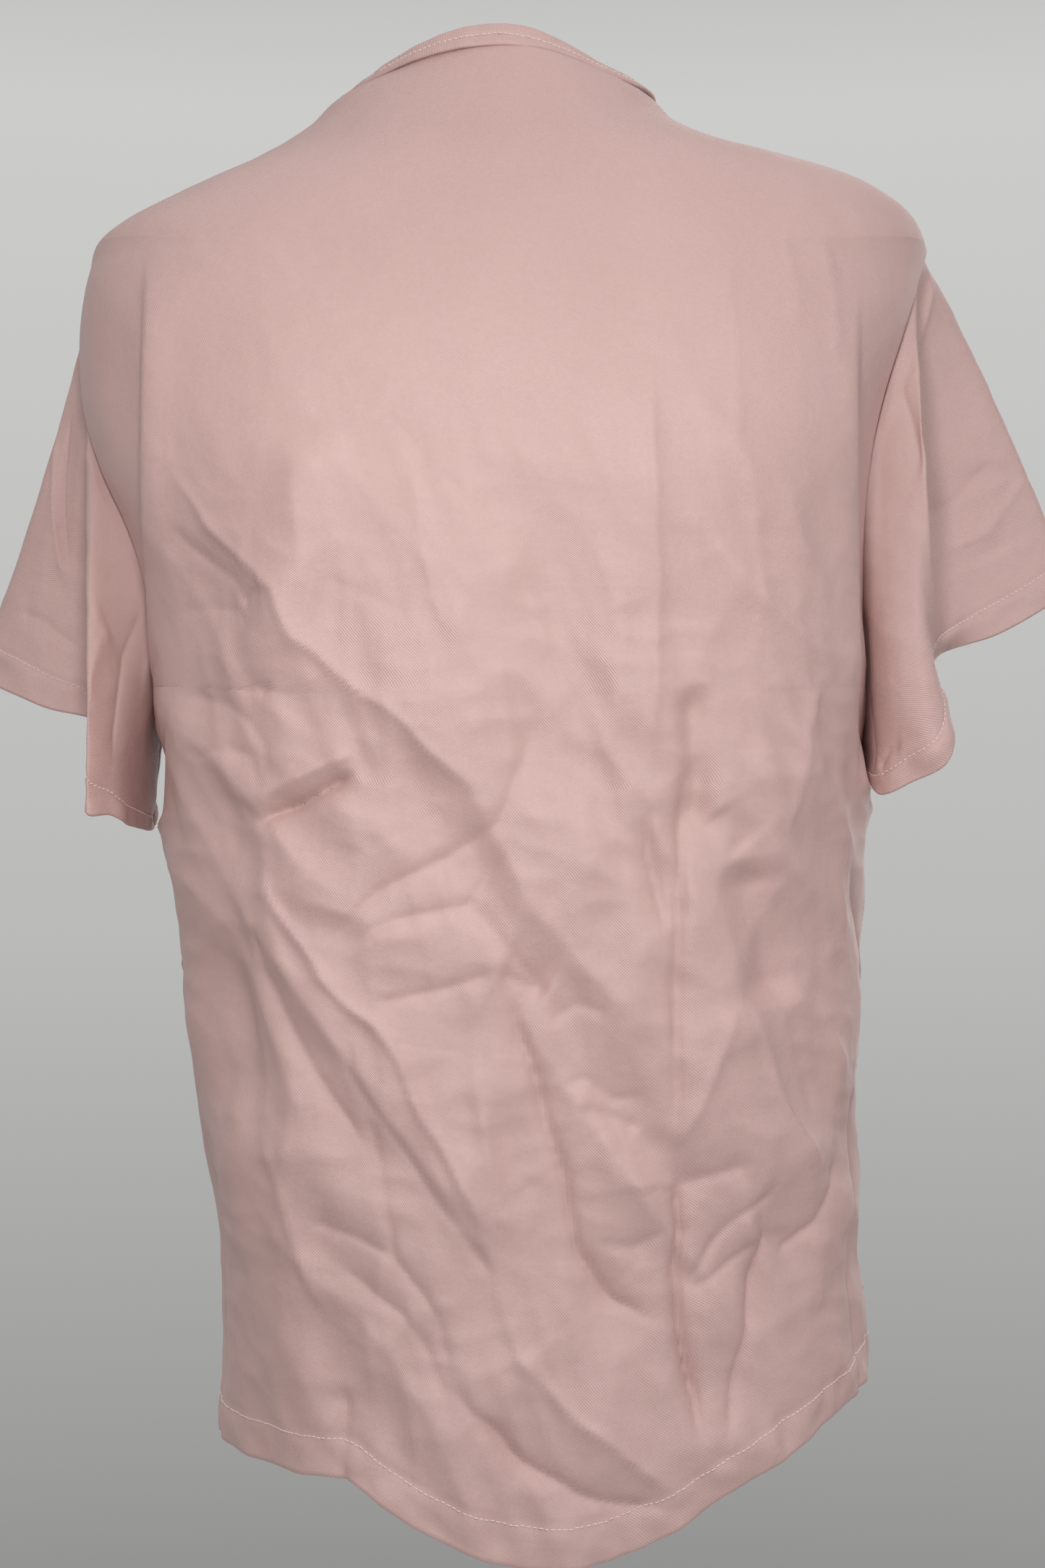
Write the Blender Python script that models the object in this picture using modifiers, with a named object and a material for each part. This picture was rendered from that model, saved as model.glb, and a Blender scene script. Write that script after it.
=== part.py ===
"""Short-sleeved V-neck patient top, cut from single panels of twill.

Metres, +Z up.  The origin is the middle of the shoulder line, level with the points where the
shoulder seams meet the neckband.  The back of the garment faces +Y and its front faces -Y, so
the wearer's left is +X.
"""
from math import acos, cos, pi, radians, sin

import bpy
import numpy as np
from mathutils import Vector

# Cloth
CLOTH = 0.0016              # thickness of one panel
BAND_THICKNESS = 0.0028     # the neckband is a folded strip
SEAM_GAP = 0.0008           # between two panels along a seam
THREAD = 0.0005             # radius of a topstitching row
OVERLOCK = 0.0012           # radius of an overlocked edge
CLEARANCE = 0.0004          # between a thread and the cloth it lies on

# Body of the garment, as heights below the shoulder line and sizes of its level sections
HEM_SIDE = -0.705
HEM_DIP = 0.026             # how much lower the hem is at the centre
VENT_TOP = -0.634
VENT_HALF_GAP = 0.003
UNDERARM = -0.312
SHOULDER_TIP = -0.078
V_POINT = -0.170            # lowest point of the neckline, at the centre front
BACK_NECK_RISE = 0.015      # the neckline at the centre back, above the shoulder line
HALF_WIDTH = [(-0.74, 0.167), (-0.60, 0.172), (-0.45, 0.180), (-0.31, 0.187), (-0.22, 0.192),
              (-0.17, 0.202), (-0.13, 0.213), (-0.09, 0.220), (-0.076, 0.217), (-0.05, 0.182),
              (-0.03, 0.146), (0.0, 0.090), (0.011, 0.083), (0.026, 0.076)]
BACK_DEPTH = [(-0.74, 0.168), (-0.60, 0.162), (-0.45, 0.155), (-0.30, 0.152), (-0.20, 0.145),
              (-0.15, 0.133), (-0.10, 0.115), (-0.06, 0.095), (-0.03, 0.079), (0.0, 0.066),
              (0.026, 0.059)]
FRONT_DEPTH = [(-0.74, 0.146), (-0.60, 0.141), (-0.40, 0.136), (-0.25, 0.131), (-0.17, 0.118),
               (-0.10, 0.092), (-0.05, 0.071), (0.0, 0.056), (0.026, 0.050)]
BACK_SQUARENESS = [(-0.74, 2.6), (-0.30, 2.8), (-0.10, 2.2), (-0.03, 2.0), (0.026, 2.0)]
FRONT_SQUARENESS = [(-0.74, 3.4), (-0.48, 3.2), (-0.30, 2.8), (-0.10, 2.2), (-0.03, 2.0),
                    (0.026, 2.0)]
BACK_ARMHOLE_SCOOP = radians(20)
FRONT_ARMHOLE_SCOOP = radians(28)

# Sleeves
SLEEVE_START_GAP = 0.0024   # from the armhole edge to the sleeve's edge
SLEEVE_INNER_HEM = (0.203, -0.372)
SLEEVE_OUTER_HEM = (0.294, -0.284)
SLEEVE_HALF_DEPTH = 0.064
SLEEVE_PIVOT = (0.221, 0.0, -0.072)

# Trim
BAND_WIDTH = 0.0105
BAND_STITCH_RISE = 0.0042
BODY_HEM_DEPTH = 0.018
SLEEVE_HEM_DEPTH = 0.019
VENT_STITCH_INSET = 0.008
POCKET_TOP = -0.493
POCKET_BOTTOM = -0.655
POCKET_INNER = 0.040        # distance of the inner edge from the centre front
POCKET_OUTER_ANGLE = radians(13)
POCKET_SEAT = 0.0030        # the sewn edges' height over the front panel
POCKET_GAPE = 0.0220        # how far the mouth stands open beyond that
POCKET_STITCH_INSET = 0.08  # share of the pocket's width from edge to stitch
MOUTH_HEM_SHARE = 0.14      # share of the pocket's height from mouth to its hem stitch
NECK_LABEL = (0.040, 0.0008, 0.020)
CARE_LABEL = (0.0008, 0.028, 0.040)
TACK = (0.0016, 0.0008, 0.008)

# Mesh density
HALF_COLUMNS = 11
LOWER_ROWS = 9
ARMHOLE_ROWS = 10
SHOULDER_ROWS = 4
SLEEVE_ROWS = 6
POCKET_COLUMNS = 8
POCKET_ROWS = 6

BACK = 1
FRONT = -1
LEFT = 1
RIGHT = -1

PINK = (0.66, 0.47, 0.44, 1.0)
PALE_THREAD = (0.80, 0.68, 0.65, 1.0)
INSIDE_THREAD = (0.70, 0.52, 0.49, 1.0)
LABEL_WHITE = (0.85, 0.84, 0.81, 1.0)


def clear_scene():
    for old in list(bpy.data.objects):
        bpy.data.objects.remove(old, do_unlink=True)


def make_material(name, colour, roughness):
    material = bpy.data.materials.new(name)
    material.use_nodes = True
    shader = material.node_tree.nodes["Principled BSDF"]
    shader.inputs["Base Color"].default_value = colour
    shader.inputs["Roughness"].default_value = roughness
    shader.inputs["Metallic"].default_value = 0.0
    material.diffuse_color = colour
    return material


def look_up(knots, height):
    heights = [knot[0] for knot in knots]
    values = [knot[1] for knot in knots]
    return float(np.interp(height, heights, values))


def depth_at(side, height):
    return look_up(BACK_DEPTH if side == BACK else FRONT_DEPTH, height)


def squareness_at(side, height):
    return look_up(BACK_SQUARENESS if side == BACK else FRONT_SQUARENESS, height)


def skin(side, angle, height):
    """Point on the garment's middle surface.

    The angle runs from 0 at the left seam, over 90 degrees at the centre, to 180 at the right.
    """
    power = 2.0 / squareness_at(side, height)
    across = cos(angle)
    out = max(sin(angle), 0.0)
    width = look_up(HALF_WIDTH, height) * abs(across) ** power
    depth = depth_at(side, height) * out ** power
    return Vector((width if across >= 0 else -width, side * (depth + SEAM_GAP / 2), height))


def outward(side, angle, height):
    step = 0.01
    low = max(angle - step, 0.002)
    high = min(angle + step, pi - 0.002)
    along = skin(side, high, height) - skin(side, low, height)
    up = skin(side, angle, height + 0.004) - skin(side, angle, height - 0.004)
    normal = along.cross(up).normalized()
    middle = Vector((0.0, 0.0, height - 0.05))
    return normal if normal.dot(skin(side, angle, height) - middle) > 0 else -normal


def lifted(side, angle, height, lift):
    return skin(side, angle, height) + outward(side, angle, height) * lift


def mirrored_angle(angle, u):
    return angle if u >= 0 else pi - angle


def angle_at(side, across, height):
    """The angle in the left half whose point lies the given distance from the centre."""
    ratio = min(across / look_up(HALF_WIDTH, height), 1.0)
    return acos(ratio ** (squareness_at(side, height) / 2.0))


def armhole(side, turn):
    """Angle and height of the armhole edge, turn 0 at the underarm and 1 at the shoulder tip."""
    scoop = BACK_ARMHOLE_SCOOP if side == BACK else FRONT_ARMHOLE_SCOOP
    middle = (UNDERARM + SHOULDER_TIP) / 2
    reach = (SHOULDER_TIP - UNDERARM) / 2
    return scoop * sin(pi * turn), middle - reach * cos(pi * turn)


def neckline(side, share, rise):
    """Angle and height along the neckline, share 0 at the shoulder seam and 1 at the centre."""
    if side == BACK:
        angle = share * pi / 2
        return angle, rise + BACK_NECK_RISE * sin(angle) ** 2
    top_width = look_up(HALF_WIDTH, rise)
    slope = V_POINT / look_up(HALF_WIDTH, 0.0)
    bottom = V_POINT + rise * (1 + slope ** 2) ** 0.5
    height = rise + (bottom - rise) * share
    return angle_at(FRONT, top_width * (1 - share), height), height


def hem_height(angle):
    return HEM_SIDE - HEM_DIP * sin(angle) ** 2


def row_levels(side):
    """Each row's outer angle and height, its height at the centre, and its share of neckline."""
    under, chest = (-0.32, -0.10) if side == BACK else (-0.37, -0.24)
    neck = BACK_NECK_RISE if side == BACK else V_POINT
    levels = []
    for row in range(LOWER_ROWS):
        share = row / LOWER_ROWS
        outer = HEM_SIDE + (UNDERARM - HEM_SIDE) * share
        centre = HEM_SIDE - HEM_DIP + (under - HEM_SIDE + HEM_DIP) * share
        levels.append((0.0, outer, centre, 0.0))
    for row in range(ARMHOLE_ROWS):
        share = row / ARMHOLE_ROWS
        angle, outer = armhole(side, share)
        levels.append((angle, outer, under + (chest - under) * share, 0.6 * share ** 2))
    for row in range(SHOULDER_ROWS + 1):
        share = row / SHOULDER_ROWS
        outer = SHOULDER_TIP * (1 - share)
        levels.append((0.0, outer, chest + (neck - chest) * share, 0.6 + 0.4 * share))
    return levels


def panel_angle_height(side, level, share):
    outer_angle, outer, centre, neck_share = level
    if side == BACK:
        height = outer + (centre - outer) * sin(share * pi / 2) ** 2
        return outer_angle + (pi / 2 - outer_angle) * share, height
    neck_angle = neckline(FRONT, share, 0.0)[0]
    turn = (1 - neck_share) * share + neck_share * neck_angle / (pi / 2)
    return outer_angle + (pi / 2 - outer_angle) * turn, outer + (centre - outer) * share


def build_mesh(name, rows, closed):
    """A sheet of quads through rows of points, each row joined end to end where closed."""
    points = [point for row in rows for point in row]
    count = len(rows[0])
    faces = []
    for row in range(len(rows) - 1):
        for column in range(count if closed else count - 1):
            after = (column + 1) % count
            low = row * count
            high = low + count
            faces.append((low + column, low + after, high + after, high + column))
    mesh = bpy.data.meshes.new(name)
    mesh.from_pydata(points, [], faces)
    mesh.validate()
    mesh.shade_smooth()
    return mesh


def add_sheet(name, rows, closed, thickness, material, mount):
    """A piece of cloth: an open surface given its thickness, under the given empty."""
    local = [[point - mount.location for point in row] for row in rows]
    mesh = build_mesh(name, local, closed)
    piece = bpy.data.objects.new(name, mesh)
    piece.data.materials.append(material)
    parts.objects.link(piece)
    piece.parent = mount
    shell = piece.modifiers.new("Thickness", "SOLIDIFY")
    shell.thickness = thickness
    shell.offset = 0.0
    return piece


def add_thread(name, points, closed, radius, material, mount):
    """A row of stitching or an overlocked edge: a thin tube through the points."""
    curve = bpy.data.curves.new(name, "CURVE")
    curve.dimensions = "3D"
    curve.bevel_depth = radius
    curve.bevel_resolution = 0
    curve.use_fill_caps = True
    spline = curve.splines.new("POLY")
    spline.points.add(len(points) - 1)
    for target, point in zip(spline.points, points):
        target.co = (*(point - mount.location), 1.0)
    spline.use_cyclic_u = closed
    piece = bpy.data.objects.new(name, curve)
    piece.data.materials.append(material)
    parts.objects.link(piece)
    piece.parent = mount
    return piece


def add_block(name, size, place, normal, material, mount):
    """A small flat piece, its thin side (Y) turned along the normal."""
    bpy.ops.mesh.primitive_cube_add(size=1.0)
    piece = bpy.context.object
    piece.name = name
    piece.data.name = name
    for owner in list(piece.users_collection):
        owner.objects.unlink(piece)
    parts.objects.link(piece)
    for vertex in piece.data.vertices:
        vertex.co = Vector([value * extent for value, extent in zip(vertex.co, size)])
    piece.data.materials.append(material)
    piece.parent = mount
    piece.location = place - mount.location
    piece.rotation_euler = normal.to_track_quat("Y", "Z").to_euler()
    return piece


def panel_rows(side):
    rows = []
    for index, level in enumerate(row_levels(side)):
        row = []
        for column in range(-HALF_COLUMNS, HALF_COLUMNS + 1):
            u = column / HALF_COLUMNS
            angle, height = panel_angle_height(side, level, 1 - abs(u))
            point = skin(side, mirrored_angle(angle, u), height)
            if abs(column) == HALF_COLUMNS and height < VENT_TOP and index < LOWER_ROWS:
                point.y += side * VENT_HALF_GAP
            row.append(point)
        rows.append(row)
    return rows


def make_panels():
    add_sheet("back_panel", panel_rows(BACK), False, CLOTH, twill, torso)
    add_sheet("front_panel", panel_rows(FRONT), False, CLOTH, twill, torso)


def armhole_loop(hand, shift, inset, lift):
    """Points round an armhole from the underarm, up the back and down the front."""
    loop = []
    for side in (BACK, FRONT):
        for step in range(ARMHOLE_ROWS):
            turn = step / ARMHOLE_ROWS if side == BACK else 1 - step / ARMHOLE_ROWS
            angle, height = armhole(side, turn)
            angle = angle + inset
            if hand == RIGHT:
                angle = pi - angle
            point = lifted(side, angle, height, lift)
            loop.append(point + Vector((hand * shift, 0.0, 0.0)))
    return loop


def sleeve_hem_loop(hand, growth):
    """The sleeve's open end: an ellipse on a plane that slants down to the body."""
    inner = Vector((SLEEVE_INNER_HEM[0], 0.0, SLEEVE_INNER_HEM[1]))
    outer = Vector((SLEEVE_OUTER_HEM[0], 0.0, SLEEVE_OUTER_HEM[1]))
    middle = (inner + outer) / 2
    half = (outer - inner) / 2
    half = half * (1 + growth / half.length)
    loop = []
    for step in range(2 * ARMHOLE_ROWS):
        turn = pi * step / ARMHOLE_ROWS
        point = middle - half * cos(turn)
        point.y = (SLEEVE_HALF_DEPTH + growth) * sin(turn)
        point.x = hand * point.x
        loop.append(point)
    return loop


def sleeve_ring(hand, share, growth):
    top = armhole_loop(hand, SLEEVE_START_GAP, 0.0, 0.0)
    bottom = sleeve_hem_loop(hand, growth)
    return [high.lerp(low, share) for high, low in zip(top, bottom)]


def make_sleeve(hand, word, mount):
    rows = [sleeve_ring(hand, row / SLEEVE_ROWS, 0.0) for row in range(SLEEVE_ROWS + 1)]
    add_sheet(f"{word}_sleeve", rows, True, CLOTH, twill, mount)
    stitch_lift = CLOTH / 2 + THREAD + 2 * CLEARANCE
    length = (Vector(SLEEVE_OUTER_HEM) - Vector((SLEEVE_PIVOT[0], SLEEVE_PIVOT[2]))).length
    share = 1 - SLEEVE_HEM_DEPTH / length
    stitch = sleeve_ring(hand, share, stitch_lift)
    add_thread(f"{word}_sleeve_hem_stitch", stitch, True, THREAD, pale_thread, mount)
    inner = -(CLOTH / 2 + OVERLOCK + 2 * CLEARANCE)
    underarm = [sleeve_ring(hand, row / SLEEVE_ROWS, 0.0)[0] for row in range(1, SLEEVE_ROWS)]
    underarm = [point + Vector((-hand * inner, 0.0, 0.0)) for point in underarm]
    add_thread(f"{word}_sleeve_underarm_overlock", underarm, False, OVERLOCK, inside_thread,
               mount)


def neck_loop(rise, lift):
    """Points round the neck: left shoulder, over the back, right shoulder, down to the V."""
    loop = []
    steps = HALF_COLUMNS
    for column in range(-steps, steps):
        share = 1 - abs(column) / steps
        angle, height = neckline(BACK, share, rise)
        loop.append(lifted(BACK, mirrored_angle(angle, -column), height, lift))
    for column in range(-steps, steps):
        share = 1 - abs(column) / steps
        angle, height = neckline(FRONT, share, rise)
        loop.append(lifted(FRONT, mirrored_angle(angle, column), height, lift))
    return loop


def make_neckband():
    rows = [neck_loop(SEAM_GAP, 0.0), neck_loop(BAND_WIDTH, 0.0)]
    add_sheet("neckband", rows, True, BAND_THICKNESS, twill, torso)
    stitch = neck_loop(BAND_STITCH_RISE, BAND_THICKNESS / 2 + THREAD + 2 * CLEARANCE)
    add_thread("neckband_topstitch", stitch, True, THREAD, pale_thread, torso)


def hem_stitch(side, rise, lift):
    points = []
    for column in range(-HALF_COLUMNS + 1, HALF_COLUMNS):
        u = column / HALF_COLUMNS
        angle = mirrored_angle((1 - abs(u)) * pi / 2, u)
        points.append(lifted(side, angle, hem_height(angle) + rise, lift))
    return points


def make_hem_stitches():
    lift = CLOTH / 2 + THREAD + CLEARANCE
    for side, word in ((BACK, "back"), (FRONT, "front")):
        stitch = hem_stitch(side, BODY_HEM_DEPTH, lift)
        add_thread(f"{word}_hem_stitch", stitch, False, THREAD, pale_thread, torso)


def seam_point(hand, height, depth):
    """A point inside a side or shoulder seam, the given depth under the cloth."""
    width = look_up(HALF_WIDTH, height)
    fall = look_up(HALF_WIDTH, height + 0.004) - look_up(HALF_WIDTH, height - 0.004)
    inward = Vector((-0.008, 0.0, fall)).normalized()
    place = Vector((width, 0.0, height)) + inward * depth
    place.x = hand * place.x
    return place


def make_seams(hand, word):
    depth = CLOTH / 2 + OVERLOCK + 2 * CLEARANCE
    side_heights = np.linspace(VENT_TOP + 0.004, UNDERARM - 0.008, 8)
    side_seam = [seam_point(hand, height, depth) for height in side_heights]
    add_thread(f"{word}_side_seam_overlock", side_seam, False, OVERLOCK, inside_thread, torso)
    shoulder_heights = np.linspace(SHOULDER_TIP + 0.012, -0.006, 6)
    shoulder = [seam_point(hand, height, 2 * depth) for height in shoulder_heights]
    add_thread(f"{word}_shoulder_overlock", shoulder, False, OVERLOCK, inside_thread, torso)
    ring = armhole_loop(hand, -0.002, radians(3), -2 * depth)
    add_thread(f"{word}_armhole_overlock", ring, True, OVERLOCK, inside_thread, torso)


def make_vent_stitch(hand, word):
    """A row that runs up one edge of the side vent, across above it and down the other."""
    lift = CLOTH / 2 + THREAD + 3 * CLEARANCE
    rise = VENT_TOP + 0.010
    points = []
    for side, heights in ((BACK, (HEM_SIDE + 0.024, -0.655, rise)),
                          (FRONT, (rise, -0.655, HEM_SIDE + 0.024))):
        for height in heights:
            width = look_up(HALF_WIDTH, height)
            place = Vector((width + lift, side * VENT_STITCH_INSET, height))
            place.x = hand * place.x
            points.append(place)
    add_thread(f"{word}_vent_stitch", points, False, THREAD, pale_thread, torso)
    place = Vector((look_up(HALF_WIDTH, VENT_TOP) + 0.0018, 0.0, VENT_TOP))
    place.x = hand * place.x
    add_block(f"{word}_vent_bar_tack", (0.008, 0.0008, 0.0016), place,
              Vector((hand, 0.0, 0.0)), pale_thread, torso)


def pocket_point(hand, across, up, lift):
    """across 0 at the side edge and 1 at the inner edge; up 0 at the bottom and 1 at the mouth."""
    height = POCKET_BOTTOM + (POCKET_TOP - POCKET_BOTTOM) * up
    inner = angle_at(FRONT, POCKET_INNER, height)
    angle = POCKET_OUTER_ANGLE + (inner - POCKET_OUTER_ANGLE) * across
    gape = POCKET_GAPE * sin(pi * across) ** 0.5 * up ** 0.5 if 0 < across < 1 else 0.0
    if hand == RIGHT:
        angle = pi - angle
    return lifted(FRONT, angle, height, POCKET_SEAT + gape + lift)


def make_pocket(hand, word):
    rows = []
    for row in range(POCKET_ROWS + 1):
        up = row / POCKET_ROWS
        rows.append([pocket_point(hand, column / POCKET_COLUMNS, up, 0.0)
                     for column in range(POCKET_COLUMNS + 1)])
    add_sheet(f"{word}_pocket", rows, False, CLOTH, twill, torso)
    lift = CLOTH / 2 + THREAD + 3 * CLEARANCE
    inset = POCKET_STITCH_INSET
    heights = [0.95, 0.8, 0.6, 0.4, 0.2]
    down = [pocket_point(hand, inset, up, lift) for up in heights]
    along = [pocket_point(hand, share, inset, lift) for share in np.linspace(inset, 1 - inset, 7)]
    rise = [pocket_point(hand, 1 - inset, up, lift) for up in reversed(heights)]
    add_thread(f"{word}_pocket_stitch", down + along + rise, False, THREAD, pale_thread, torso)
    shares = [(column + 0.5) / POCKET_COLUMNS for column in range(1, POCKET_COLUMNS - 1)]
    mouth_lift = lift + 2 * CLEARANCE
    mouth = [pocket_point(hand, share, 1 - MOUTH_HEM_SHARE, mouth_lift) for share in shares]
    add_thread(f"{word}_pocket_mouth_stitch", mouth, False, THREAD, pale_thread, torso)
    for name, across in (("outer", 0.0), ("inner", 1.0)):
        place = pocket_point(hand, across, 0.96, CLOTH / 2 + TACK[1] / 2 + 2 * CLEARANCE)
        height = POCKET_TOP - 0.006
        angle = POCKET_OUTER_ANGLE if across == 0.0 else angle_at(FRONT, POCKET_INNER, height)
        if hand == RIGHT:
            angle = pi - angle
        normal = outward(FRONT, angle, height)
        add_block(f"{word}_pocket_{name}_bar_tack", TACK, place, normal, pale_thread, torso)


def make_labels():
    height = -0.004
    normal = outward(BACK, pi / 2, height)
    place = skin(BACK, pi / 2, height) - normal * 0.005
    add_block("neck_label", NECK_LABEL, place, normal, label_white, torso)
    height = -0.56
    place = Vector((look_up(HALF_WIDTH, height) - 0.0085, 0.020, height))
    care = add_block("care_label", CARE_LABEL, place, Vector((0.0, 1.0, 0.0)), label_white, torso)
    care.rotation_euler = (0.0, radians(-2), radians(14))


clear_scene()
parts = bpy.data.collections.new("patient_gown")
bpy.context.scene.collection.children.link(parts)

twill = make_material("twill", PINK, 0.75)
pale_thread = make_material("pale_thread", PALE_THREAD, 0.6)
inside_thread = make_material("inside_thread", INSIDE_THREAD, 0.7)
label_white = make_material("label_white", LABEL_WHITE, 0.5)


def add_mount(name, place):
    mount = bpy.data.objects.new(name, None)
    mount.location = place
    parts.objects.link(mount)
    return mount


torso = add_mount("torso_frame", Vector((0.0, 0.0, 0.0)))
make_panels()
make_neckband()
make_hem_stitches()
make_labels()
for hand, word in ((LEFT, "left"), (RIGHT, "right")):
    pivot = Vector((hand * SLEEVE_PIVOT[0], SLEEVE_PIVOT[1], SLEEVE_PIVOT[2]))
    make_sleeve(hand, word, add_mount(f"{word}_sleeve_pivot", pivot))
    make_seams(hand, word)
    make_vent_stitch(hand, word)
    make_pocket(hand, word)
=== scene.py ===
"""The looks of a short-sleeved V-neck patient top in dusty pink twill, built around its parts.

Metres, +Z up.  The back of the garment faces +Y, and the wearer's left is +X.  Every piece of
cloth is a fine grid of points on a smooth body shape, pushed in and out along routes of creases.
"""

from math import cos, pi, radians, sin

import bpy
import numpy as np
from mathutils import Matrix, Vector


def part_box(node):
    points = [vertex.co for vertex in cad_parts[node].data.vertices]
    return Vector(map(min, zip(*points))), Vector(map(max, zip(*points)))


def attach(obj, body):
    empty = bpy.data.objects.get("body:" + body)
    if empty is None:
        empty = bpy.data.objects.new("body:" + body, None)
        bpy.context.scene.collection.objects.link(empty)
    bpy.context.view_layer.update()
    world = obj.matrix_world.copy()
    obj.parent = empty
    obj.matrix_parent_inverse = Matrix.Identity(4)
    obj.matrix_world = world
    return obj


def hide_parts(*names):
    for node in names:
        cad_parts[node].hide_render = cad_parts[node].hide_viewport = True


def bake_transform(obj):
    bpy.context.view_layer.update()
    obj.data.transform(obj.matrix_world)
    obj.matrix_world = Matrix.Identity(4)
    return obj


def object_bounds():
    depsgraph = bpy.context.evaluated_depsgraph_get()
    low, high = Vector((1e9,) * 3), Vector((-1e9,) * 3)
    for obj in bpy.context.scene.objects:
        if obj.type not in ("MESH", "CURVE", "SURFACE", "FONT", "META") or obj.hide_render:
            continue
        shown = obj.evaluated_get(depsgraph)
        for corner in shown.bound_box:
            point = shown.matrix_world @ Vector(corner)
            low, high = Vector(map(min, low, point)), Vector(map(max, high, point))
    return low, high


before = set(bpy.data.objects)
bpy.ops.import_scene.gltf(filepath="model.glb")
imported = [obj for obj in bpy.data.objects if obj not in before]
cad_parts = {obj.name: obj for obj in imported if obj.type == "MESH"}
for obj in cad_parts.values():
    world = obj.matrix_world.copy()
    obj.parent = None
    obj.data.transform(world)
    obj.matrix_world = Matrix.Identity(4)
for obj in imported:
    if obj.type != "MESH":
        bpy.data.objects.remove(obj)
cad_size = [list(corner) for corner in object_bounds()]

MM = 0.001
BACK = 1
FRONT = -1
LEFT = 1
RIGHT = -1

TO_MM = 1000.0

# Cloth, thread and their colours
CLOTH = 0.6 * MM
SEAM_GAP = 0.4 * MM
TURN_GAP = 1.5 * MM          # between the two layers of a turned-up hem
STITCH_PITCH = 2.9 * MM
STITCH_LENGTH = 2.5 * MM
STITCH_RADIUS = 0.34 * MM
TACK_LENGTH = 8.0 * MM
TACK_WIDTH = 1.7 * MM
TACK_THREAD = 0.26 * MM
TACK_PITCH = 0.42 * MM
ON_CLOTH = CLOTH / 2 + 0.10 * MM     # a thread's middle line over the middle of its cloth
TWILL_PITCH = 1.0 * MM
TWILL_LIGHT = (0.680, 0.452, 0.424)
TWILL_DARK = (0.530, 0.325, 0.300)
YARNS = {"pale_thread": ((0.86, 0.72, 0.69), (0.70, 0.56, 0.53)),
         "inside_thread": ((0.66, 0.48, 0.45), (0.52, 0.36, 0.33)),
         "label_white": ((0.84, 0.83, 0.80), (0.74, 0.73, 0.70))}

# Camera and studio
CAMERA_PLACE = (-0.0093, 1.3, -0.362)
CAMERA_LENS = 55.9
CAMERA_SENSOR = 36.0
LIGHT_TARGET = (0.0, 0.0, -0.36)
FLOOR_RADIUS = 1.3
FLOOR_DROP = 0.62            # how far the floor lies under the garment
# The studio's grey, from straight down (0) to straight up (1)
WALL_SHADES = [(0.0, 0.10), (0.30, 0.18), (0.37, 0.335), (0.468, 0.49), (0.634, 0.605),
               (0.74, 0.30), (1.0, 0.20)]

# The body's shape, as heights below the shoulder line and sizes of its level sections
HEM_TOP = -0.70
VENT_TOP = -0.634
UNDERARM = -0.312
SHOULDER_TIP = -0.078
V_POINT = -0.170
BACK_NECK_RISE = 0.015
NECK_SLANT = 0.42            # how much of the neckband's width is height, at the shoulder
NECK_MITRE = 2.13            # and at the point of the V
ARMHOLE_DROP = 1.9           # how low the left armhole's deepest point lies at the back
REACH = {LEFT: [(-0.74, 0.150), (-0.687, 0.150), (-0.649, 0.1485), (-0.611, 0.1495), (-0.592, 0.149),
                (-0.5725, 0.1525), (-0.5535, 0.158), (-0.5155, 0.1655), (-0.4775, 0.170),
                (-0.42, 0.1742), (-0.36, 0.178), (-0.30, 0.183), (-0.26, 0.190), (-0.23, 0.200),
                (-0.20, 0.213), (-0.17, 0.2215), (-0.135, 0.224), (-0.113, 0.2225), (-0.094, 0.219),
                (-0.075, 0.2125), (-0.0655, 0.199), (-0.0554, 0.180), (-0.0361, 0.138),
                (-0.0168, 0.107), (0.0, 0.0890), (0.0045, 0.0815), (0.010, 0.075), (0.026, 0.066)],
         RIGHT: [(-0.74, 0.186), (-0.668, 0.1895), (-0.649, 0.190), (-0.630, 0.1885), (-0.611, 0.1858),
                 (-0.5725, 0.188), (-0.5345, 0.186), (-0.4775, 0.1875), (-0.43, 0.1868),
                 (-0.35, 0.188), (-0.26, 0.188), (-0.22, 0.191), (-0.17, 0.201), (-0.13, 0.212),
                 (-0.10, 0.219), (-0.0747, 0.2215), (-0.0554, 0.208), (-0.0454, 0.190),
                 (-0.0361, 0.162), (-0.026, 0.124), (-0.0168, 0.099), (0.0, 0.0790),
                 (0.0045, 0.073), (0.010, 0.066), (0.026, 0.057)]}
DEPTH = {BACK: [(-0.74, 0.164), (-0.60, 0.162), (-0.45, 0.156), (-0.30, 0.152), (-0.20, 0.145),
                (-0.15, 0.133), (-0.10, 0.115), (-0.06, 0.095), (-0.03, 0.079), (0.0, 0.066),
                (0.026, 0.059)],
         FRONT: [(-0.74, 0.144), (-0.60, 0.141), (-0.40, 0.136), (-0.25, 0.131), (-0.17, 0.118),
                 (-0.10, 0.092), (-0.05, 0.071), (0.0, 0.056), (0.026, 0.050)]}
SQUARENESS = {BACK: [(-0.74, 2.2), (-0.55, 2.5), (-0.30, 2.9), (-0.20, 3.0), (-0.10, 2.6),
                     (-0.05, 2.2), (-0.02, 2.0), (0.026, 2.0)],
              FRONT: [(-0.74, 3.4), (-0.48, 3.2), (-0.30, 2.8), (-0.10, 2.2), (-0.03, 2.0),
                      (0.026, 2.0)]}
ARMHOLE_SCOOP = {BACK: radians(20), FRONT: radians(28)}
# The hem's height across the body
HEM_LINE = {BACK: [(-0.19, -0.664), (-0.16, -0.674), (-0.135, -0.686), (-0.11, -0.698),
                   (-0.086, -0.712), (-0.05, -0.7265), (-0.01, -0.7285), (0.03, -0.716),
                   (0.05, -0.705), (0.07, -0.692), (0.10, -0.691), (0.15, -0.695)],
            FRONT: [(-0.19, -0.682), (-0.10, -0.714), (0.0, -0.728), (0.09, -0.714),
                    (0.15, -0.698)]}

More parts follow.
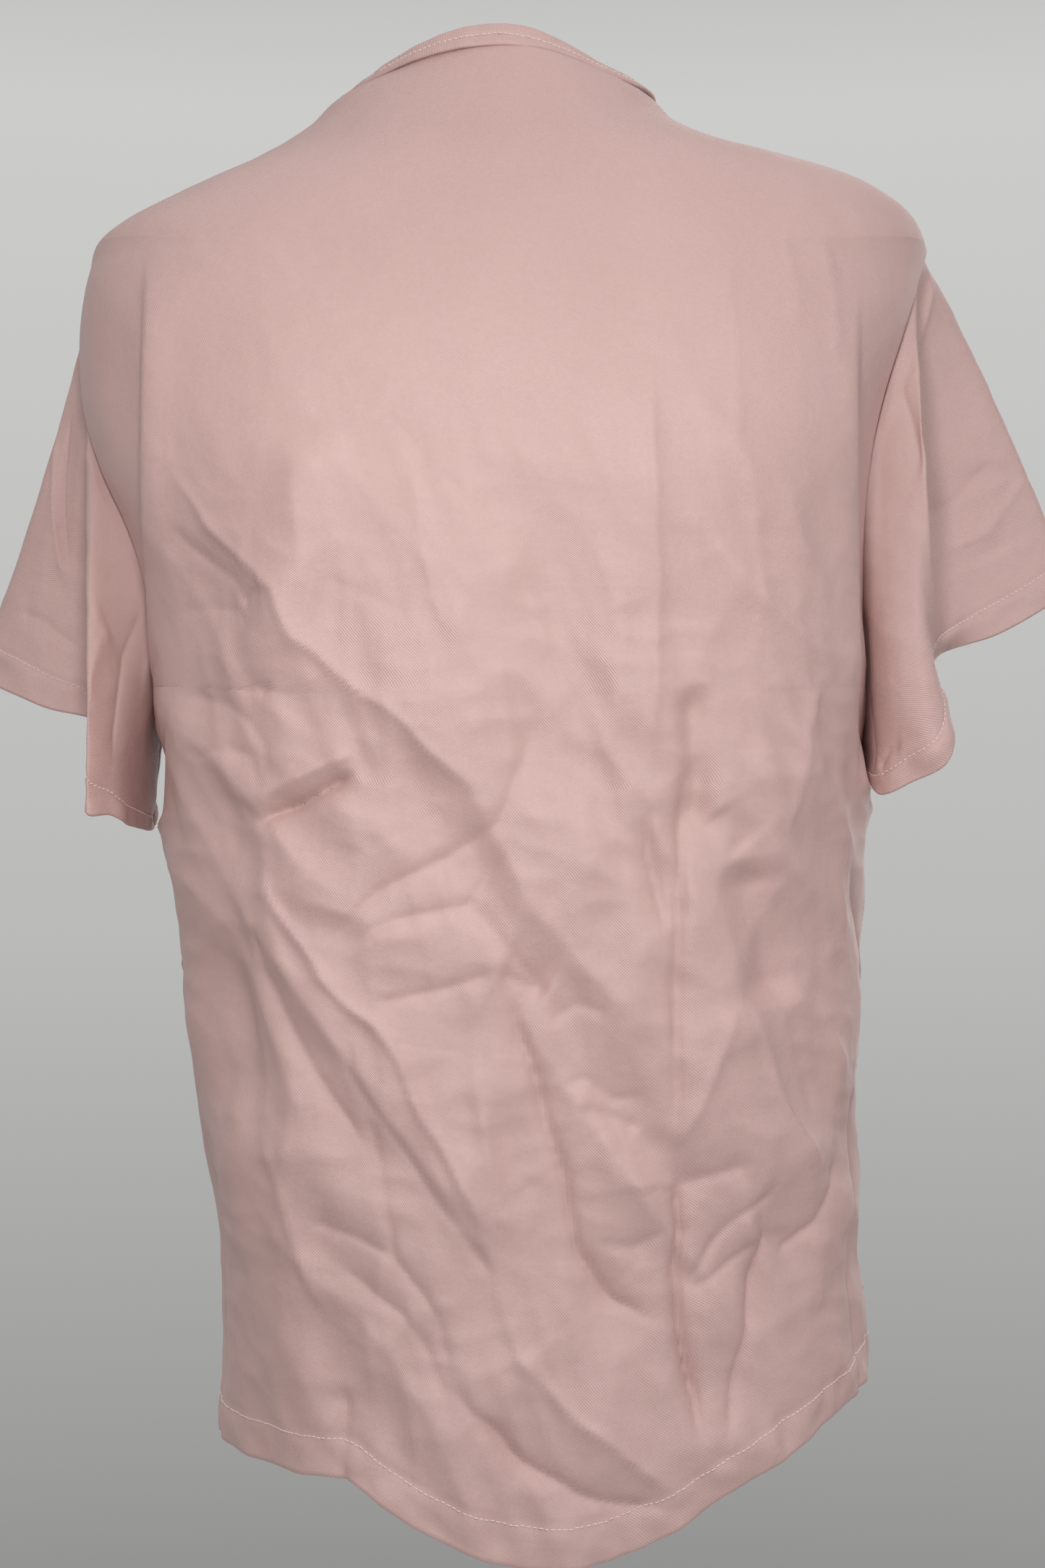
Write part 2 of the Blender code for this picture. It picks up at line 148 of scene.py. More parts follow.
# Rows of the grids: below the underarm, along the armhole, and along the shoulder
LOWER_ROWS = 192
ARMHOLE_ROWS = 118
SHOULDER_ROWS = 60
PANEL_COLUMNS = 244
SLEEVE_ROWS = 120
SLEEVE_COLUMNS = 248
TURNED_SHARE = 0.047         # share of the lower rows that is doubled by the turned-up hem
SLEEVE_TURNED_SHARE = 0.09

# Creases: kind, height in mm (or at the start and at the end), width in mm on the first side and
# on the second, and the route in mm.  The first side of a route that runs down is the +X one.
BACK_CREASES = [
    ("mound", 4.0, 12, 12, [(93, -190), (99, -240), (104, -262), (108, -285), (108, -320)]),
    ("ridge", 3.2, 3, 11, [(163, -207), (144, -235), (126, -253), (108, -270), (99, -293),
                         (71, -316), (46, -333), (24, -356), (6, -375)]),
    ("valley", 2.0, 8, 7, [(164, -236), (144, -256), (124, -269)]),
    ("valley", 2.5, 3, 3, [(126, -275), (120, -271), (113, -270)]),
    ("valley", 1.8, 7, 7, [(165, -278), (127, -278), (115, -291)]),
    ("ridge", 1.0, 7, 7, [(43, -212), (38, -251), (30, -282), (19, -297)]),
    ("valley", 0.8, 7, 7, [(42, -223), (29, -217), (17, -227)]),
    ("valley", 0.9, 8, 8, [(87, -263), (66, -273), (41, -282)]),
    ("hollow", (1.5, 4.5), 12, 11, [(8, -200), (-15, -240), (-24, -267), (-35, -292),
                                    (-52, -351), (-64, -370)]),
    ("ridge", 3.0, 15, 7, [(-71, -155), (-71, -218), (-74, -267), (-73, -313), (-69, -364)]),
    ("valley", 2.6, 1.6, 1.6, [(-64, -362), (-70, -378), (-71, -395), (-74, -414), (-78, -434)]),
    ("valley", 3.0, 2.2, 1.4, [(-88, -347), (-86, -392), (-83, -430), (-83, -497), (-82, -538)]),
    ("hollow", 4.5, 5, 5, [(-89, -315), (-93, -343), (-94, -364), (-92, -388)]),
    ("valley", 2.6, 7, 4, [(87, -441), (60, -414), (22, -393), (2, -381), (-15, -332)]),
    ("valley", 2.6, 4, 7, [(85, -445), (60, -430), (18, -419), (-6, -388)]),
    ("valley", 2.6, 6, 9, [(18, -416), (-1, -439), (-22, -462)]),
    ("valley", 3.0, 6, 9, [(60, -466), (32, -460), (3, -449)]),
    ("valley", 3.0, 6, 8, [(3, -449), (-7, -455), (-22, -462)]),
    ("valley", 7.0, 14, 10, [(2, -450), (-12, -489), (-19, -518), (-28, -545), (-33, -567),
                             (-37, -584), (-52, -605), (-67, -614), (-82, -620)]),
    ("valley", 3.0, 6, 7, [(120, -419), (118, -451), (93, -492), (74, -520), (64, -537)]),
    ("ridge", 5.5, 9, 14, [(118, -384), (112, -414), (99, -433), (85, -453), (60, -476),
                           (49, -493), (38, -518), (23, -543), (11, -566), (-1, -578)]),
    ("valley", 3.0, 5, 6, [(76, -467), (71, -497), (60, -514), (38, -546), (17, -576), (-2, -605)]),
    ("valley", 3.0, 5, 6, [(62, -514), (61, -535), (55, -562), (52, -586), (38, -600), (31, -611),
                           (24, -642)]),
    ("valley", 2.2, 6, 5, [(95, -570), (71, -576), (52, -586)]),
    ("valley", 1.8, 4, 5, [(83, -587), (62, -602), (48, -611), (34, -633), (25, -657)]),
    ("ridge", 3.0, 8, 7, [(115, -524), (108, -545), (99, -573), (93, -595), (84, -620)]),
    ("mound", 4.0, 8, 8, [(130, -504), (129, -551), (127, -605)]),
    ("hollow", 5.5, 12, 12, [(147, -348), (142, -375), (136, -408), (136, -470), (136, -538)]),
    ("ridge", 3.5, 6, 9, [(122, -378), (112, -365), (99, -359), (69, -346)]),
    ("valley", 7.0, 5, 4, [(120, -384), (113, -377), (97, -370), (70, -356)]),
    ("valley", 1.8, 4, 5, [(162, -318), (133, -324), (121, -332), (113, -345), (114, -360)]),
    ("valley", 1.5, 4, 4, [(159, -343), (147, -349), (133, -345), (122, -348), (117, -367)]),
    ("valley", 1.8, 2.5, 2.5, [(125, -318), (119, -316), (110, -318)]),
    ("ridge", 4.0, 14, 6, [(-3, -618), (-8, -632), (-34, -659), (-59, -679), (-84, -703)]),
    ("valley", 4.5, 5, 6, [(15, -652), (-10, -681), (-37, -695), (-82, -706)]),
    ("ridge", 1.8, 5, 4, [(11, -566), (1, -606), (-7, -630)]),
    ("valley", 2.2, 4, 4, [(22, -642), (16, -653), (0, -672), (-19, -685)]),
    ("ridge", 3.5, 9, 6, [(-117, -464), (-124, -480), (-131, -505), (-143, -527), (-155, -554)]),
    ("ridge", 3.0, 8, 5, [(-111, -466), (-95, -507), (-88, -523), (-82, -538)]),
    ("valley", 2.4, 4, 4, [(-86, -554), (-102, -547), (-117, -545)]),
    ("valley", 2.4, 4, 4, [(-134, -553), (-129, -561), (-115, -567), (-102, -581), (-88, -605)]),
    ("valley", 2.4, 5, 4, [(-90, -604), (-108, -593), (-127, -580)]),
    ("valley", 7.5, 6, 5, [(-81, -540), (-86, -551), (-84, -562), (-86, -573), (-85, -595),
                           (-86, -614), (-90, -636), (-93, -654), (-94, -677)]),
    ("valley", 4.5, 5, 5, [(-127, -564), (-129, -581), (-124, -600), (-120, -624), (-114, -642),
                           (-106, -677)]),
    ("valley", 3.0, 4, 4, [(-135, -592), (-155, -575), (-163, -559), (-168, -546)]),
    ("ridge", 1.2, 3, 3, [(-154, -578), (-154, -624)]),
    ("ridge", 2.5, 7, 6, [(-156, -305), (-147, -337), (-142, -370), (-135, -390)]),
    ("hollow", 5.5, 11, 10, [(-119, -396), (-123, -414), (-131, -441), (-133, -470)]),
    ("hollow", 2.0, 8, 8, [(-102, -375), (-118, -393)]),
    ("valley", 1.8, 4, 4, [(-22, -474), (-36, -466), (-50, -472)]),
    ("valley", 1.8, 4, 4, [(-26, -506), (-38, -500), (-53, -511), (-68, -509)]),
    ("valley", 1.8, 4, 4, [(-33, -516), (-53, -519), (-68, -526)]),
    ("valley", 1.8, 4, 4, [(-44, -578), (-65, -582), (-80, -572)]),
    ("valley", 4.0, 6, 5, [(76, -645), (75, -670), (73, -700)]),
    ("ridge", 0.9, 7, 4, [(-110, -96), (-112, -150), (-112, -206)]),
    ("ridge", 1.0, 6, 4, [(-138, -82), (-141, -108), (-146, -140)]),
    ("ridge", 1.1, 6, 3, [(-159, -86), (-163, -118), (-164, -156)]),
    ("valley", 0.9, 4, 5, [(-84, -50), (-92, -58), (-101, -68)]),
    ("ridge", 0.8, 9, 6, [(-118, -210), (-123, -262), (-121, -318)]),
    ("valley", 0.8, 5, 7, [(62, -182), (46, -196), (34, -214)]),
]
FRONT_CREASES = [
    ("mound", 3.0, 16, 14, [(104, -215), (112, -262), (116, -330)]),
    ("hollow", 2.6, 12, 14, [(84, -250), (92, -310), (104, -372)]),
    ("hollow", 2.2, 14, 12, [(-76, -262), (-90, -330), (-98, -392)]),
    ("ridge", 2.4, 9, 12, [(-96, -236), (-112, -300), (-118, -352)]),
    ("valley", 3.0, 5, 8, [(160, -318), (128, -352), (92, -378), (64, -386)]),
    ("ridge", 2.6, 9, 5, [(156, -340), (120, -380), (86, -404), (44, -436)]),
    ("valley", 2.4, 5, 7, [(64, -386), (40, -420), (26, -470), (22, -520)]),
    ("valley", 3.0, 7, 5, [(-162, -326), (-132, -362), (-104, -398), (-84, -440)]),
    ("ridge", 2.4, 6, 8, [(-150, -356), (-122, -392), (-98, -436), (-92, -476)]),
    ("valley", 3.6, 8, 6, [(4, -452), (-4, -520), (6, -590), (-2, -660), (2, -712)]),
    ("ridge", 3.2, 10, 7, [(-20, -432), (-28, -510), (-24, -590), (-32, -690)]),
    ("ridge", 2.2, 6, 9, [(28, -480), (24, -560), (32, -650), (28, -706)]),
    ("valley", 1.6, 3, 5, [(52, -262), (30, -300), (16, -350)]),
    ("valley", 1.4, 4, 3, [(-30, -286), (-12, -318), (-16, -352)]),
    ("ridge", 1.6, 5, 8, [(4, -206), (8, -262), (-4, -330), (-14, -400)]),
    ("valley", 2.4, 5, 6, [(60, -668), (66, -690), (64, -720)]),
    ("valley", 2.4, 6, 5, [(-70, -664), (-76, -690), (-72, -720)]),
]
# Creases round the sides of the body: here the route's first value is the distance along Y
SIDE_CREASES = {
    LEFT: [
        ("valley", 4.0, 9, 8, [(95, -330), (50, -352), (0, -360), (-50, -350), (-90, -330)]),
        ("ridge", 3.5, 9, 9, [(90, -376), (40, -384), (-10, -392), (-60, -380)]),
        ("valley", 4.5, 8, 10, [(70, -400), (40, -440), (10, -500), (-6, -560)]),
        ("ridge", 4.0, 10, 9, [(20, -400), (-18, -450), (-36, -520), (-40, -600)]),
        ("valley", 3.5, 8, 8, [(-60, -400), (-74, -460), (-84, -540)]),
        ("valley", 3.0, 6, 6, [(60, -480), (52, -540), (60, -600), (54, -680)]),
        ("valley", 2.5, 5, 5, [(-20, -330), (-40, -310), (-70, -280)]),
    ],
    RIGHT: [
        ("valley", 4.0, 8, 9, [(100, -310), (56, -340), (6, -356), (-40, -352), (-88, -326)]),
        ("ridge", 3.5, 9, 8, [(92, -350), (46, -372), (-4, -386), (-56, -376)]),
        ("valley", 4.5, 9, 9, [(84, -396), (52, -440), (26, -500), (20, -570)]),
        ("ridge", 4.0, 10, 10, [(34, -402), (0, -450), (-20, -520), (-24, -600)]),
        ("valley", 3.5, 7, 8, [(-50, -396), (-70, -470), (-76, -560)]),
        ("valley", 3.0, 6, 5, [(70, -500), (64, -560), (72, -620), (64, -680)]),
        ("valley", 2.5, 5, 5, [(-16, -326), (-44, -300), (-72, -272)]),
    ],
}
# Sleeve creases: the route's values are the share of a turn round the sleeve, 0 at the underarm,
# 1 at the shoulder line and 2 back at the underarm, and the share of the way down to the hem
SLEEVE_CREASES = {
    LEFT: [
        ("ridge", 1.5, 7, 6, [(0.56, 0.02), (0.555, 0.25), (0.55, 0.5)]),
        ("valley", 1.6, 6, 8, [(0.86, 0.30), (0.80, 0.50), (0.76, 0.62)]),
        ("ridge", 1.8, 7, 8, [(0.95, 0.38), (0.86, 0.52), (0.76, 0.66)]),
        ("valley", 1.2, 5, 5, [(0.92, 0.80), (0.82, 0.78), (0.72, 0.80)]),
        ("valley", 1.6, 6, 6, [(0.30, 0.05), (0.38, 0.4), (0.40, 0.8)]),
        ("ridge", 1.4, 5, 5, [(0.44, 0.40), (0.49, 0.62), (0.50, 0.72)]),
        ("ridge", 2.0, 9, 9, [(1.25, 0.05), (1.30, 0.5), (1.34, 1.0)]),
        ("valley", 2.4, 8, 9, [(1.42, 0.05), (1.47, 0.5), (1.52, 0.95)]),
        ("valley", 2.0, 8, 8, [(1.12, 0.2), (1.15, 0.6), (1.18, 1.0)]),
    ],
    RIGHT: [
        ("ridge", 3.0, 6, 8, [(0.96, 0.02), (0.88, 0.18), (0.80, 0.40)]),
        ("valley", 2.0, 6, 7, [(0.66, 0.05), (0.72, 0.24), (0.75, 0.34)]),
        ("valley", 1.6, 6, 6, [(0.96, 0.55), (0.90, 0.60), (0.84, 0.56)]),
        ("ridge", 1.6, 6, 7, [(1.0, 0.64), (0.92, 0.72), (0.86, 0.70)]),
        ("valley", 1.4, 5, 5, [(0.92, 0.80), (0.95, 0.70), (0.97, 0.62)]),
        ("valley", 1.4, 4, 4, [(0.34, 0.88), (0.42, 0.84), (0.50, 0.86)]),
        ("valley", 1.6, 6, 6, [(0.30, 0.05), (0.26, 0.5), (0.28, 0.9)]),
        ("ridge", 2.0, 9, 9, [(1.28, 0.05), (1.32, 0.5), (1.36, 1.0)]),
        ("valley", 2.4, 9, 8, [(1.44, 0.05), (1.50, 0.5), (1.56, 0.95)]),
        ("valley", 2.0, 8, 8, [(1.14, 0.2), (1.17, 0.6), (1.20, 1.0)]),
    ],
}
# The sleeves' open ends: the share of a turn, then the place
SLEEVE_HEMS = {
    LEFT: [(0.0, 0.186, 0.0, -0.385), (0.2, 0.190, 0.050, -0.384), (0.4, 0.1985, 0.070, -0.378),
           (0.54, 0.2100, 0.075, -0.373), (0.60, 0.2050, 0.048, -0.355), (0.66, 0.2080, 0.026, -0.336),
           (0.80, 0.243, 0.020, -0.322), (0.92, 0.267, 0.012, -0.312), (1.0, 0.284, 0.0, -0.304),
           (1.12, 0.274, -0.030, -0.300), (1.35, 0.246, -0.054, -0.311), (1.6, 0.216, -0.058, -0.328),
           (1.85, 0.192, -0.036, -0.372), (2.0, 0.186, 0.0, -0.385)],
    RIGHT: [(0.0, -0.187, 0.0, -0.360), (0.15, -0.188, 0.040, -0.360), (0.38, -0.194, 0.062, -0.3675),
            (0.5, -0.205, 0.068, -0.362), (0.61, -0.2262, 0.073, -0.347),
            (0.655, -0.2275, 0.064, -0.332), (0.70, -0.2205, 0.042, -0.314),
            (0.75, -0.2235, 0.021, -0.299), (0.87, -0.262, 0.014, -0.283), (1.0, -0.302, 0.0, -0.259),
            (1.12, -0.290, -0.030, -0.256), (1.35, -0.258, -0.055, -0.270),
            (1.6, -0.226, -0.060, -0.288), (1.85, -0.196, -0.036, -0.344), (2.0, -0.187, 0.0, -0.360)],
}
# The same halfway down the sleeves
SLEEVE_MIDDLES = {
    LEFT: [(0.0, 0.184, 0.0, -0.348), (0.2, 0.187, 0.045, -0.335), (0.4, 0.196, 0.064, -0.308),
           (0.54, 0.2100, 0.068, -0.272), (0.59, 0.2055, 0.048, -0.264), (0.64, 0.2080, 0.026, -0.254),
           (0.76, 0.229, 0.012, -0.226), (0.88, 0.240, 0.008, -0.208), (1.0, 0.2465, 0.0, -0.200),
           (1.12, 0.242, -0.028, -0.205), (1.35, 0.228, -0.054, -0.232), (1.6, 0.207, -0.060, -0.275),
           (1.85, 0.189, -0.036, -0.330), (2.0, 0.184, 0.0, -0.348)],
    RIGHT: [(0.0, -0.187, 0.0, -0.338), (0.2, -0.188, 0.042, -0.330), (0.4, -0.191, 0.060, -0.302),
            (0.6, -0.2010, 0.068, -0.268), (0.71, -0.2115, 0.068, -0.244), (0.775, -0.2160, 0.063, -0.229),
            (0.82, -0.2090, 0.040, -0.219), (0.86, -0.2130, 0.020, -0.207), (0.93, -0.243, 0.010, -0.188),
            (1.0, -0.2665, 0.0, -0.171), (1.12, -0.259, -0.028, -0.178), (1.35, -0.234, -0.055, -0.212),
            (1.6, -0.210, -0.062, -0.262), (1.85, -0.190, -0.036, -0.322), (2.0, -0.187, 0.0, -0.338)],
}
SLEEVE_TURN_MM = 240.0       # the length that each half turn and the whole fall count as
SLEEVE_FALL_MM = 235.0
SLEEVE_INSET = 0.3 * MM      # how far a sleeve's top edge is tucked in

# How the creases are formed
CREASE_GAIN = 1.45
CREASE_SPREAD = 2.1          # how far a sharp crease's flanks reach, in its widths
CREST_ROUNDING = 0.35        # radius of a sharp crease's crest, in mm
CORE_SHARE = 0.30            # how much of a sharp crease is its thin core
CORE_WIDTH = 2.0             # how far the core reaches, in mm
END_TAPER = 0.22
CREASE_REACH = 7.0           # widths beyond which a crease is nothing
ROUTE_SWAY = 0.6             # mm by which routes waver
# Facets of crushed cloth on the body: angle of their long way from level, length across and
# along in metres, and height in mm
FACETS = [(radians(62), 0.060, 0.28, 2.4), (radians(106), 0.085, 0.20, 1.5),
          (radians(20), 0.070, 0.16, 1.0), (radians(74), 0.026, 0.12, 0.6)]
FACET_ROUNDING = 0.0016
# The step where the back hangs over: hand, distance from the middle, and height of its top
LEDGES = ((LEFT, 0.178, -0.095), (RIGHT, 0.176, -0.115))
LEDGE_END = -0.37
LEDGE_DEPTH = 14.0 * MM
LEDGE_WIDTH = 2.5 * MM
LEDGE_SWAY = 1.2 * MM
LEDGE_LIP = 3.0 * MM
# One seed for each random field
SEEDS = {"broad": 11, "sharp": 23, "fine": 37, "sway_level": 71, "sway_upright": 72,
         "back_facets": 101, "front_facets": 131, "back_hem": 5, "front_hem": 6, "sleeve_hem": 8,
         "pocket": 40, "band_fine": 61, "band_broad": 62}

# Neckband
BAND_HIGH = 10.6 * MM
BAND_THICK = 2.4 * MM
BAND_STITCH = 6              # the profile's point that holds the stitching
# Across the band from its outer lower edge: the rise in mm and the share of half its thickness
BAND_PROFILE = [(-1.6, 0.10), (-0.9, 0.75), (0.2, 1.0), (2.0, 1.10), (3.6, 0.92), (4.3, 0.70),
                (4.6, 0.62), (4.9, 0.70), (5.6, 0.92), (7.4, 1.05), (9.2, 0.95), (10.2, 0.62),
                (10.6, 0.0), (10.2, -0.62), (9.2, -0.95), (7.0, -1.0), (4.6, -0.75), (2.2, -1.0),
                (0.2, -1.0), (-1.0, -0.8)]
NECK_STEPS = 100

# Side vents, seam allowances and their looping threads
VENT_STITCH_INSET = 8.0 * MM
VENT_STITCH_TOP = VENT_TOP + 10 * MM
VENT_GAP = 5.5 * MM
STRIP_WIDTH = 7.0 * MM
STRIP_DEPTH = 1.3 * MM
STRIP_THICK = 0.9 * MM
LOOP_PITCH = 2.4 * MM
LOOP_THREAD = 0.22 * MM
LOOP_HEIGHT = 0.80 * MM
LOOP_STEPS = 10

# Pockets and labels
POCKET_TOP = -0.493
POCKET_BOTTOM = -0.655
POCKET_INNER = 40.0 * MM
POCKET_FROM_SEAM = 50.0 * MM
POCKET_GRID = ((92, 80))
POCKET_SEAT = 1.5 * MM
POCKET_GAPE = 15.0 * MM
POCKET_WRINKLE = 0.9 * MM
POCKET_EDGE = 0.8 * MM
POCKET_MOUTH_HEM = 20.0 * MM
POCKET_STITCH_INSET = 4.0 * MM
NECK_LABEL = 20 * MM         # its height and half its width
NECK_LABEL_SAG = 0.9 * MM
NECK_LABEL_DEPTH = 1.5 * MM
CARE_LABEL_WIDTH = 28 * MM


def smooth(knots, at):
    """A smooth curve through (position, value) knots, read at the given positions."""
    place, value = np.array(knots, float).T
    slope = np.gradient(value, place)
    at = np.clip(at, place[0], place[-1])
    low = np.clip(np.searchsorted(place, at) - 1, 0, len(place) - 2)
    span = place[low + 1] - place[low]
    t = (at - place[low]) / span
    return (value[low] * (1 + 2 * t) * (1 - t) ** 2 + value[low + 1] * t * t * (3 - 2 * t)
            + slope[low] * span * t * (1 - t) ** 2 - slope[low + 1] * span * t * t * (1 - t))


def ease(t):
    """Runs smoothly from 0 to 1, level at both ends."""
    t = np.clip(t, 0.0, 1.0)
    return t * t * (3 - 2 * t)


def section(side, angle, height):
    """Points on the body before any crease: the angle is 0 at the left seam and pi at the right."""
    angle, height = np.broadcast_arrays(angle, height)
    power = 2.0 / smooth(SQUARENESS[side], height)
    across = np.cos(angle)
    out = np.sin(angle).clip(0.0)
    reach = np.where(across > 0, smooth(REACH[LEFT], height), smooth(REACH[RIGHT], height))
    x = reach * np.sign(across) * np.abs(across) ** power
    y = side * (smooth(DEPTH[side], height) * out ** power + SEAM_GAP / 2)
    return np.stack([x, y, height], -1)


def armhole(side, hand, turn):
    """Angle from the seam and height of the armhole edge: turn 0 is the underarm, 1 the tip."""
    middle = (UNDERARM + SHOULDER_TIP) / 2
    reach = (SHOULDER_TIP - UNDERARM) / 2
    low_turn = 1 - (1 - turn) ** ARMHOLE_DROP if (side, hand) == (BACK, LEFT) else turn
    return ARMHOLE_SCOOP[side] * np.sin(pi * low_turn), middle - reach * np.cos(pi * turn)


def neckline(side, hand, share, distance):
    """Angle and height along the neckline, share 0 at the shoulder seam and 1 at the centre.

    The distance is how far up the neckband the line is.
    """
    if side == BACK:
        angle = share * pi / 2
        high = np.sin(angle) ** 2
        return angle, distance * (NECK_SLANT + (1 - NECK_SLANT) * high) + BACK_NECK_RISE * high
    top = distance * NECK_SLANT
    height = top + (V_POINT + distance * NECK_MITRE - top) * share
    power = smooth(SQUARENESS[FRONT], height) / 2
    ratio = np.clip(smooth(REACH[hand], top) * (1 - share) / smooth(REACH[hand], height), 0, 1)
    return np.arccos(ratio ** power), height


def unit(vectors):
    """The same directions at length one."""
    return vectors / np.linalg.norm(vectors, axis=-1, keepdims=True).clip(1e-12)


def wrapped(values):
    """The same rows with the first column again at the end."""
    return np.concatenate([values, values[:, :1]], 1)


def arc_lengths(points):
    """How far along a line of points each of them lies."""
    steps = np.linalg.norm(np.diff(points, axis=0), axis=1)
    return np.concatenate([[0.0], np.cumsum(steps)])


def read_line(values, places_known, places):
    """Values known at places along a line, read at other places."""
    return np.stack([np.interp(places, places_known, column) for column in values.T], -1)


def even_row(points, count):
    """The same line through count points at even distances."""
    lengths = arc_lengths(points)
    return read_line(points, lengths, np.linspace(0.0, lengths[-1], count))


def grid_normals(points, closed):
    """Unit normals of a grid of rows that run up and columns that run round."""
    if closed:
        round_way = np.roll(points, -1, axis=1) - np.roll(points, 1, axis=1)
    else:
        round_way = np.gradient(points, axis=1)
    up_way = np.gradient(points, axis=0)
    return unit(np.cross(round_way, up_way))


def blurred(values, passes, closed):
    """The grid with each value drawn towards its neighbours, round and up, passes times."""
    for _ in range(passes):
        if closed:
            values = (np.roll(values, 1, 1) + 2 * values + np.roll(values, -1, 1)) / 4
        else:
            padded = np.concatenate([values[:, :1], values, values[:, -1:]], 1)
            values = (padded[:, :-2] + 2 * padded[:, 1:-1] + padded[:, 2:]) / 4
        padded = np.concatenate([values[:1], values, values[-1:]], 0)
        values = (padded[:-2] + 2 * padded[1:-1] + padded[2:]) / 4
    return values


def route_line(kind, route):
    """The route itself for a sharp crease, and a finely stepped smooth line for a soft one."""
    route = np.array(route, float)
    if kind in ("ridge", "valley"):
        return route
    lengths = arc_lengths(route)
    fine = np.linspace(0.0, lengths[-1], 8 * (len(route) - 1) + 1)
    if len(route) == 2:
        return read_line(route, lengths, fine)
    return np.stack([smooth(list(zip(lengths, column)), fine) for column in route.T], -1)


def crease_height(crease, flat):
    """How far one crease pushes each point of a flat layout (in mm) out of the cloth, in mm."""
    kind, heights, first, second, route = crease
    start, end = heights if isinstance(heights, tuple) else (heights, heights)
    line = route_line(kind, route)
    margin = CREASE_REACH * max(first, second)
    low, high = line.min(0) - margin, line.max(0) + margin
    near = np.all((flat >= low) & (flat <= high), axis=-1)
    points = flat[near]
    best = np.full(len(points), 1e9)
    side = np.zeros(len(points))
    along = np.zeros(len(points))
    lengths = arc_lengths(line)
    for index in range(len(line) - 1):
        step = line[index + 1] - line[index]
        length = np.linalg.norm(step)
        offset = points - line[index]
        share = np.clip(offset @ step / length ** 2, 0.0, 1.0)
        gap = np.linalg.norm(offset - share[:, None] * step, axis=1)
        closer = gap < best
        turn = step[0] * offset[:, 1] - step[1] * offset[:, 0]
        best = np.where(closer, gap, best)
        side = np.where(closer, np.where(turn >= 0, 1.0, -1.0), side)
        along = np.where(closer, (lengths[index] + share * length) / lengths[-1], along)
    wide = np.where(side > 0, first, second)
    u = best / wide
    height = CREASE_GAIN * (start + (end - start) * along)
    height = height * ease(along / END_TAPER + 0.12) * ease((1 - along) / END_TAPER + 0.12)
    if kind in ("mound", "hollow"):
        shape = np.exp(-u * u / 2)
    else:
        away = np.sqrt(best ** 2 + CREST_ROUNDING ** 2) - CREST_ROUNDING
        shape = ((1 - CORE_SHARE) * np.exp(-away / (wide * CREASE_SPREAD))
                 + CORE_SHARE * np.exp(-away / CORE_WIDTH))
    result = np.zeros(flat.shape[:-1])
    result[near] = height * (shape if kind in ("ridge", "mound") else -shape)
    return result


def creased(creases, flat):
    """How far all the creases together push each point out, in mm."""
    return sum(crease_height(crease, flat) for crease in creases)


def soft_waves(points, wavelength, seed, count=14):
    """A smooth random field over places in space, from a seeded sum of plane waves."""
    draw = np.random.default_rng(seed)
    ways = draw.normal(size=(count, 3))
    ways /= np.linalg.norm(ways, axis=1, keepdims=True)
    phases = draw.uniform(0, 2 * pi, count)
    scales = draw.uniform(0.7, 1.5, count) * 2 * pi / wavelength
    total = np.zeros(points.shape[:-1])
    for way, phase, scale in zip(ways, phases, scales):
        total += np.sin(points @ (way * scale) + phase)
    return total / (count / 2) ** 0.5


def crumple(points):
    """Small wrinkles: sharp crests where a smooth field crosses nothing."""
    broad = 1.1 * MM * soft_waves(points, 0.11, SEEDS["broad"])
    sharp = 0.9 * MM * (0.6 - np.abs(soft_waves(points, 0.075, SEEDS["sharp"])))
    fine = 0.35 * MM * (0.6 - np.abs(soft_waves(points, 0.032, SEEDS["fine"])))
    return broad + sharp + fine


def facets(points, seed):
    """Flat planes that meet in long sharp folds, slanting down across the body, in metres."""
    total = np.zeros(points.shape[:-1])
    for index, (angle, across, along, height) in enumerate(FACETS):
        level, upright = points[..., 0], points[..., 2]
        way = (level * cos(angle) + upright * sin(angle)) / along
        over = (upright * cos(angle) - level * sin(angle)) / across
        place = np.stack([way, over, points[..., 1] / along], -1)
        field = soft_waves(place, 1.0, seed + index)
        total += height * MM * (0.6 - np.sqrt(field ** 2 + FACET_ROUNDING))
    return total


class Cloth:
    """A grid of points over a piece of cloth, with its outward normals and flat coordinates."""

    def __init__(self, points, outward, closed=False):
        self.points = points
        self.closed = closed
        self.outward = outward
        self.refresh()

    def refresh(self):
        self.normals = grid_normals(self.points, self.closed) * self.outward

    def push(self, heights):
        self.points = self.points + self.normals * heights[..., None]
        self.refresh()

    def at(self, rows, columns, lift=0.0):
        """Places and normals at fractional rows and columns."""
        rows, columns = np.broadcast_arrays(np.asarray(rows, float), np.asarray(columns, float))
        count = self.points.shape[1]
        row = np.clip(np.floor(rows).astype(int), 0, self.points.shape[0] - 2)
        column = np.floor(columns).astype(int)
        if not self.closed:
            column = np.clip(column, 0, count - 2)
        up = (rows - row)[..., None]
        on = (columns - column)[..., None]
        here, after = column % count, (column + 1) % count

        def mixed(values):
            low = values[row, here] * (1 - on) + values[row, after] * on
            high = values[row + 1, here] * (1 - on) + values[row + 1, after] * on
            return low * (1 - up) + high * up

        normals = unit(mixed(self.normals))
        return mixed(self.points) + normals * lift, normals


def new_object(name, mesh, material):
    piece = bpy.data.objects.new(name, mesh)
    bpy.context.scene.collection.objects.link(piece)
    mesh.materials.append(material)
    return piece


